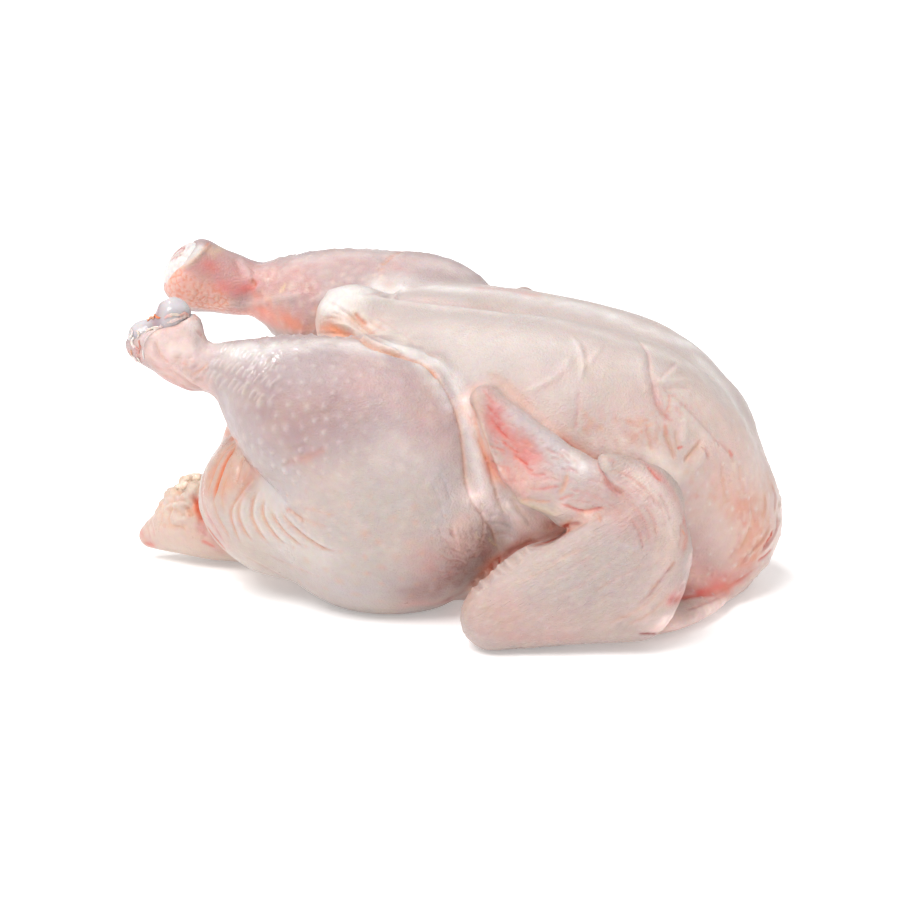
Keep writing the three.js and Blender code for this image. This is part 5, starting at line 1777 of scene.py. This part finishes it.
def grain_relief(tree, place, flesh):
    """The height of the pores and of the fine lines."""
    pit_inputs = {"Vector": place, "Scale": 1.0 / (flesh.grain * MM)}
    pits = add_node(tree, "ShaderNodeTexVoronoi", pit_inputs, feature="SMOOTH_F1")
    grains = add_node(tree, "ShaderNodeTexNoise", {
        "Vector": place, "Scale": 0.8 / (flesh.grain * MM), "Detail": 6.0, "Roughness": 0.68,
    })
    relief = plus(tree, times(tree, pits.outputs["Distance"], 0.7), times(tree, grains.outputs["Fac"], 1.5))
    return plus(tree, relief, streaked_relief(tree, place)) if flesh.streaked else relief


def flesh_material(name, flesh):
    """Moist flesh: its tint and wetness come from the mesh, its pores and fine lines from noise."""
    material = bpy.data.materials.new(name)
    material.use_nodes = True
    tree = material.node_tree
    shader = tree.nodes["Principled BSDF"]
    place = add_node(tree, "ShaderNodeTexCoord").outputs["Object"]
    tint = add_node(tree, "ShaderNodeAttribute", attribute_name="tint").outputs["Color"]
    wet = add_node(tree, "ShaderNodeAttribute", attribute_name="wet").outputs["Fac"]
    tree.links.new(blotched(tree, place, tint), shader.inputs["Base Color"])
    gloss = add_node(tree, "ShaderNodeTexNoise", {"Vector": place, "Scale": 520.0, "Detail": 3.0})
    patch = times(tree, wet, gloss.outputs["Fac"])
    rough = add_node(tree, "ShaderNodeMapRange", {
        "Value": patch, "From Min": 0.05, "From Max": 0.45, "To Min": flesh.dry, "To Max": flesh.wet,
    })
    tree.links.new(rough.outputs["Result"], shader.inputs["Roughness"])
    film = add_node(tree, "ShaderNodeMapRange", {
        "Value": patch, "From Min": FILM_WETNESS[0], "From Max": FILM_WETNESS[1],
        "To Min": 1.0, "To Max": FILM_BUMP,
    })
    bumped = add_node(tree, "ShaderNodeBump", {
        "Height": grain_relief(tree, place, flesh), "Strength": film.outputs["Result"],
        "Distance": flesh.depth * MM,
    })
    tree.links.new(bumped.outputs["Normal"], shader.inputs["Normal"])
    shader.inputs["Subsurface Weight"].default_value = flesh.subsurface
    shader.inputs["Subsurface Radius"].default_value = SCATTER_RADIUS
    shader.inputs["Subsurface Scale"].default_value = SCATTER_DEPTH
    shader.inputs["IOR"].default_value = FLESH_IOR
    return material


def dress(piece, material, slot, *nodes):
    piece.data.materials.append(material)
    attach(piece, ROOT)
    if nodes:
        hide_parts(*nodes)


# Studio ------------------------------------------------------------------------------------------

# The floor, in metres; its drop keeps it clear of the bird's underside.
FLOOR_REACH, FLOOR_DROP = 6.0, 0.0002
FLOOR_SHADES, FLOOR_GLOW = (0.93, 0.95), 0.25
# Each light's azimuth, elevation, strength and spread.
KEY_LIGHT = (-28, 57, 2.5, 34)
BACK_LIGHT = (-117, 66, 0.9, 8)
SKY_COLOUR, SKY_STRENGTH = (1.0, 0.995, 0.99, 1), 0.64


def make_floor():
    mesh = bpy.data.meshes.new("floor")
    corners = [(x * FLOOR_REACH, y * FLOOR_REACH, 0) for x, y in ((-1, -1), (1, -1), (1, 1), (-1, 1))]
    mesh.from_pydata(corners, [], [(0, 1, 2, 3)])
    floor = placed("floor", mesh)
    floor.location.z = -FLOOR_DROP
    material = bpy.data.materials.new("pale_floor")
    material.use_nodes = True
    tree = material.node_tree
    shader = tree.nodes["Principled BSDF"]
    place = add_node(tree, "ShaderNodeTexCoord").outputs["Object"]
    cloud = add_node(tree, "ShaderNodeTexNoise", {"Vector": place, "Scale": 3.0})
    pale = add_node(tree, "ShaderNodeMapRange", {
        "Value": cloud.outputs["Fac"], "To Min": FLOOR_SHADES[0], "To Max": FLOOR_SHADES[1],
    })
    tree.links.new(pale.outputs["Result"], shader.inputs["Base Color"])
    shader.inputs["Roughness"].default_value = 0.7
    shader.inputs["Specular IOR Level"].default_value = 0.1
    shader.inputs["Emission Color"].default_value = (1, 1, 1, 1)
    shader.inputs["Emission Strength"].default_value = FLOOR_GLOW
    mesh.materials.append(material)


def soft_sun(name, azimuth, elevation, strength, spread):
    """A broad light from far away."""
    data = bpy.data.lights.new(name, "SUN")
    data.energy = strength
    data.angle = math.radians(spread)
    light = placed(name, data)
    light.rotation_euler = direction_to(azimuth, elevation).to_track_quat("Z", "Y").to_euler()


def make_light():
    world = bpy.data.worlds.new("studio")
    bpy.context.scene.world = world
    world.use_nodes = True
    sky = world.node_tree.nodes["Background"]
    sky.inputs["Color"].default_value = SKY_COLOUR
    sky.inputs["Strength"].default_value = SKY_STRENGTH
    soft_sun("key", *KEY_LIGHT)
    soft_sun("back", *BACK_LIGHT)
    bpy.context.scene.view_settings.view_transform = "Standard"


def tree_of(*pieces):
    """A search tree over pieces, in millimetres."""
    corners, faces = [], []
    for piece in pieces:
        faces += [[v + len(corners) for v in face.vertices] for face in piece.data.polygons]
        corners += [v.co / MM for v in piece.data.vertices]
    return BVHTree.FromPolygons(corners, faces)


def make_bird():
    skin = skin_piece(make_skin())
    cartilage = make_cartilage()
    bone = make_bone()
    surface = tree_of(skin, cartilage, bone)
    hock_tissue = tissue_piece("hock_tissue", HOCK_STRANDS, surface, HOCK_SEED)
    tail_fat = tissue_piece("tail_fat", TAIL_STRANDS, surface, TAIL_SEED)
    tissue_look = flesh_material("tissue", TISSUE_FLESH)
    dress(skin, flesh_material("skin", SKIN_FLESH), "skin", "chicken")
    dress(cartilage, flesh_material("cartilage", CARTILAGE_FLESH), "cartilage", "near_hock_cartilage")
    dress(bone, flesh_material("bone", BONE_FLESH), "bone", "far_hock_bone")
    dress(hock_tissue, tissue_look, "skin")
    dress(tail_fat, tissue_look, "skin")


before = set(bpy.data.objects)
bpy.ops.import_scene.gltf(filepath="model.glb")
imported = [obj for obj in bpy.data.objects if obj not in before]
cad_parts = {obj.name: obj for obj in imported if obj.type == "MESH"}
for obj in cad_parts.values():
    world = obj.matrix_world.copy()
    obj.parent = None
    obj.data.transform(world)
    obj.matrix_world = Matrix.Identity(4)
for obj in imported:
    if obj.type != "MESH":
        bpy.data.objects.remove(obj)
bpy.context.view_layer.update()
make_camera()
make_bird()
make_floor()
make_light()
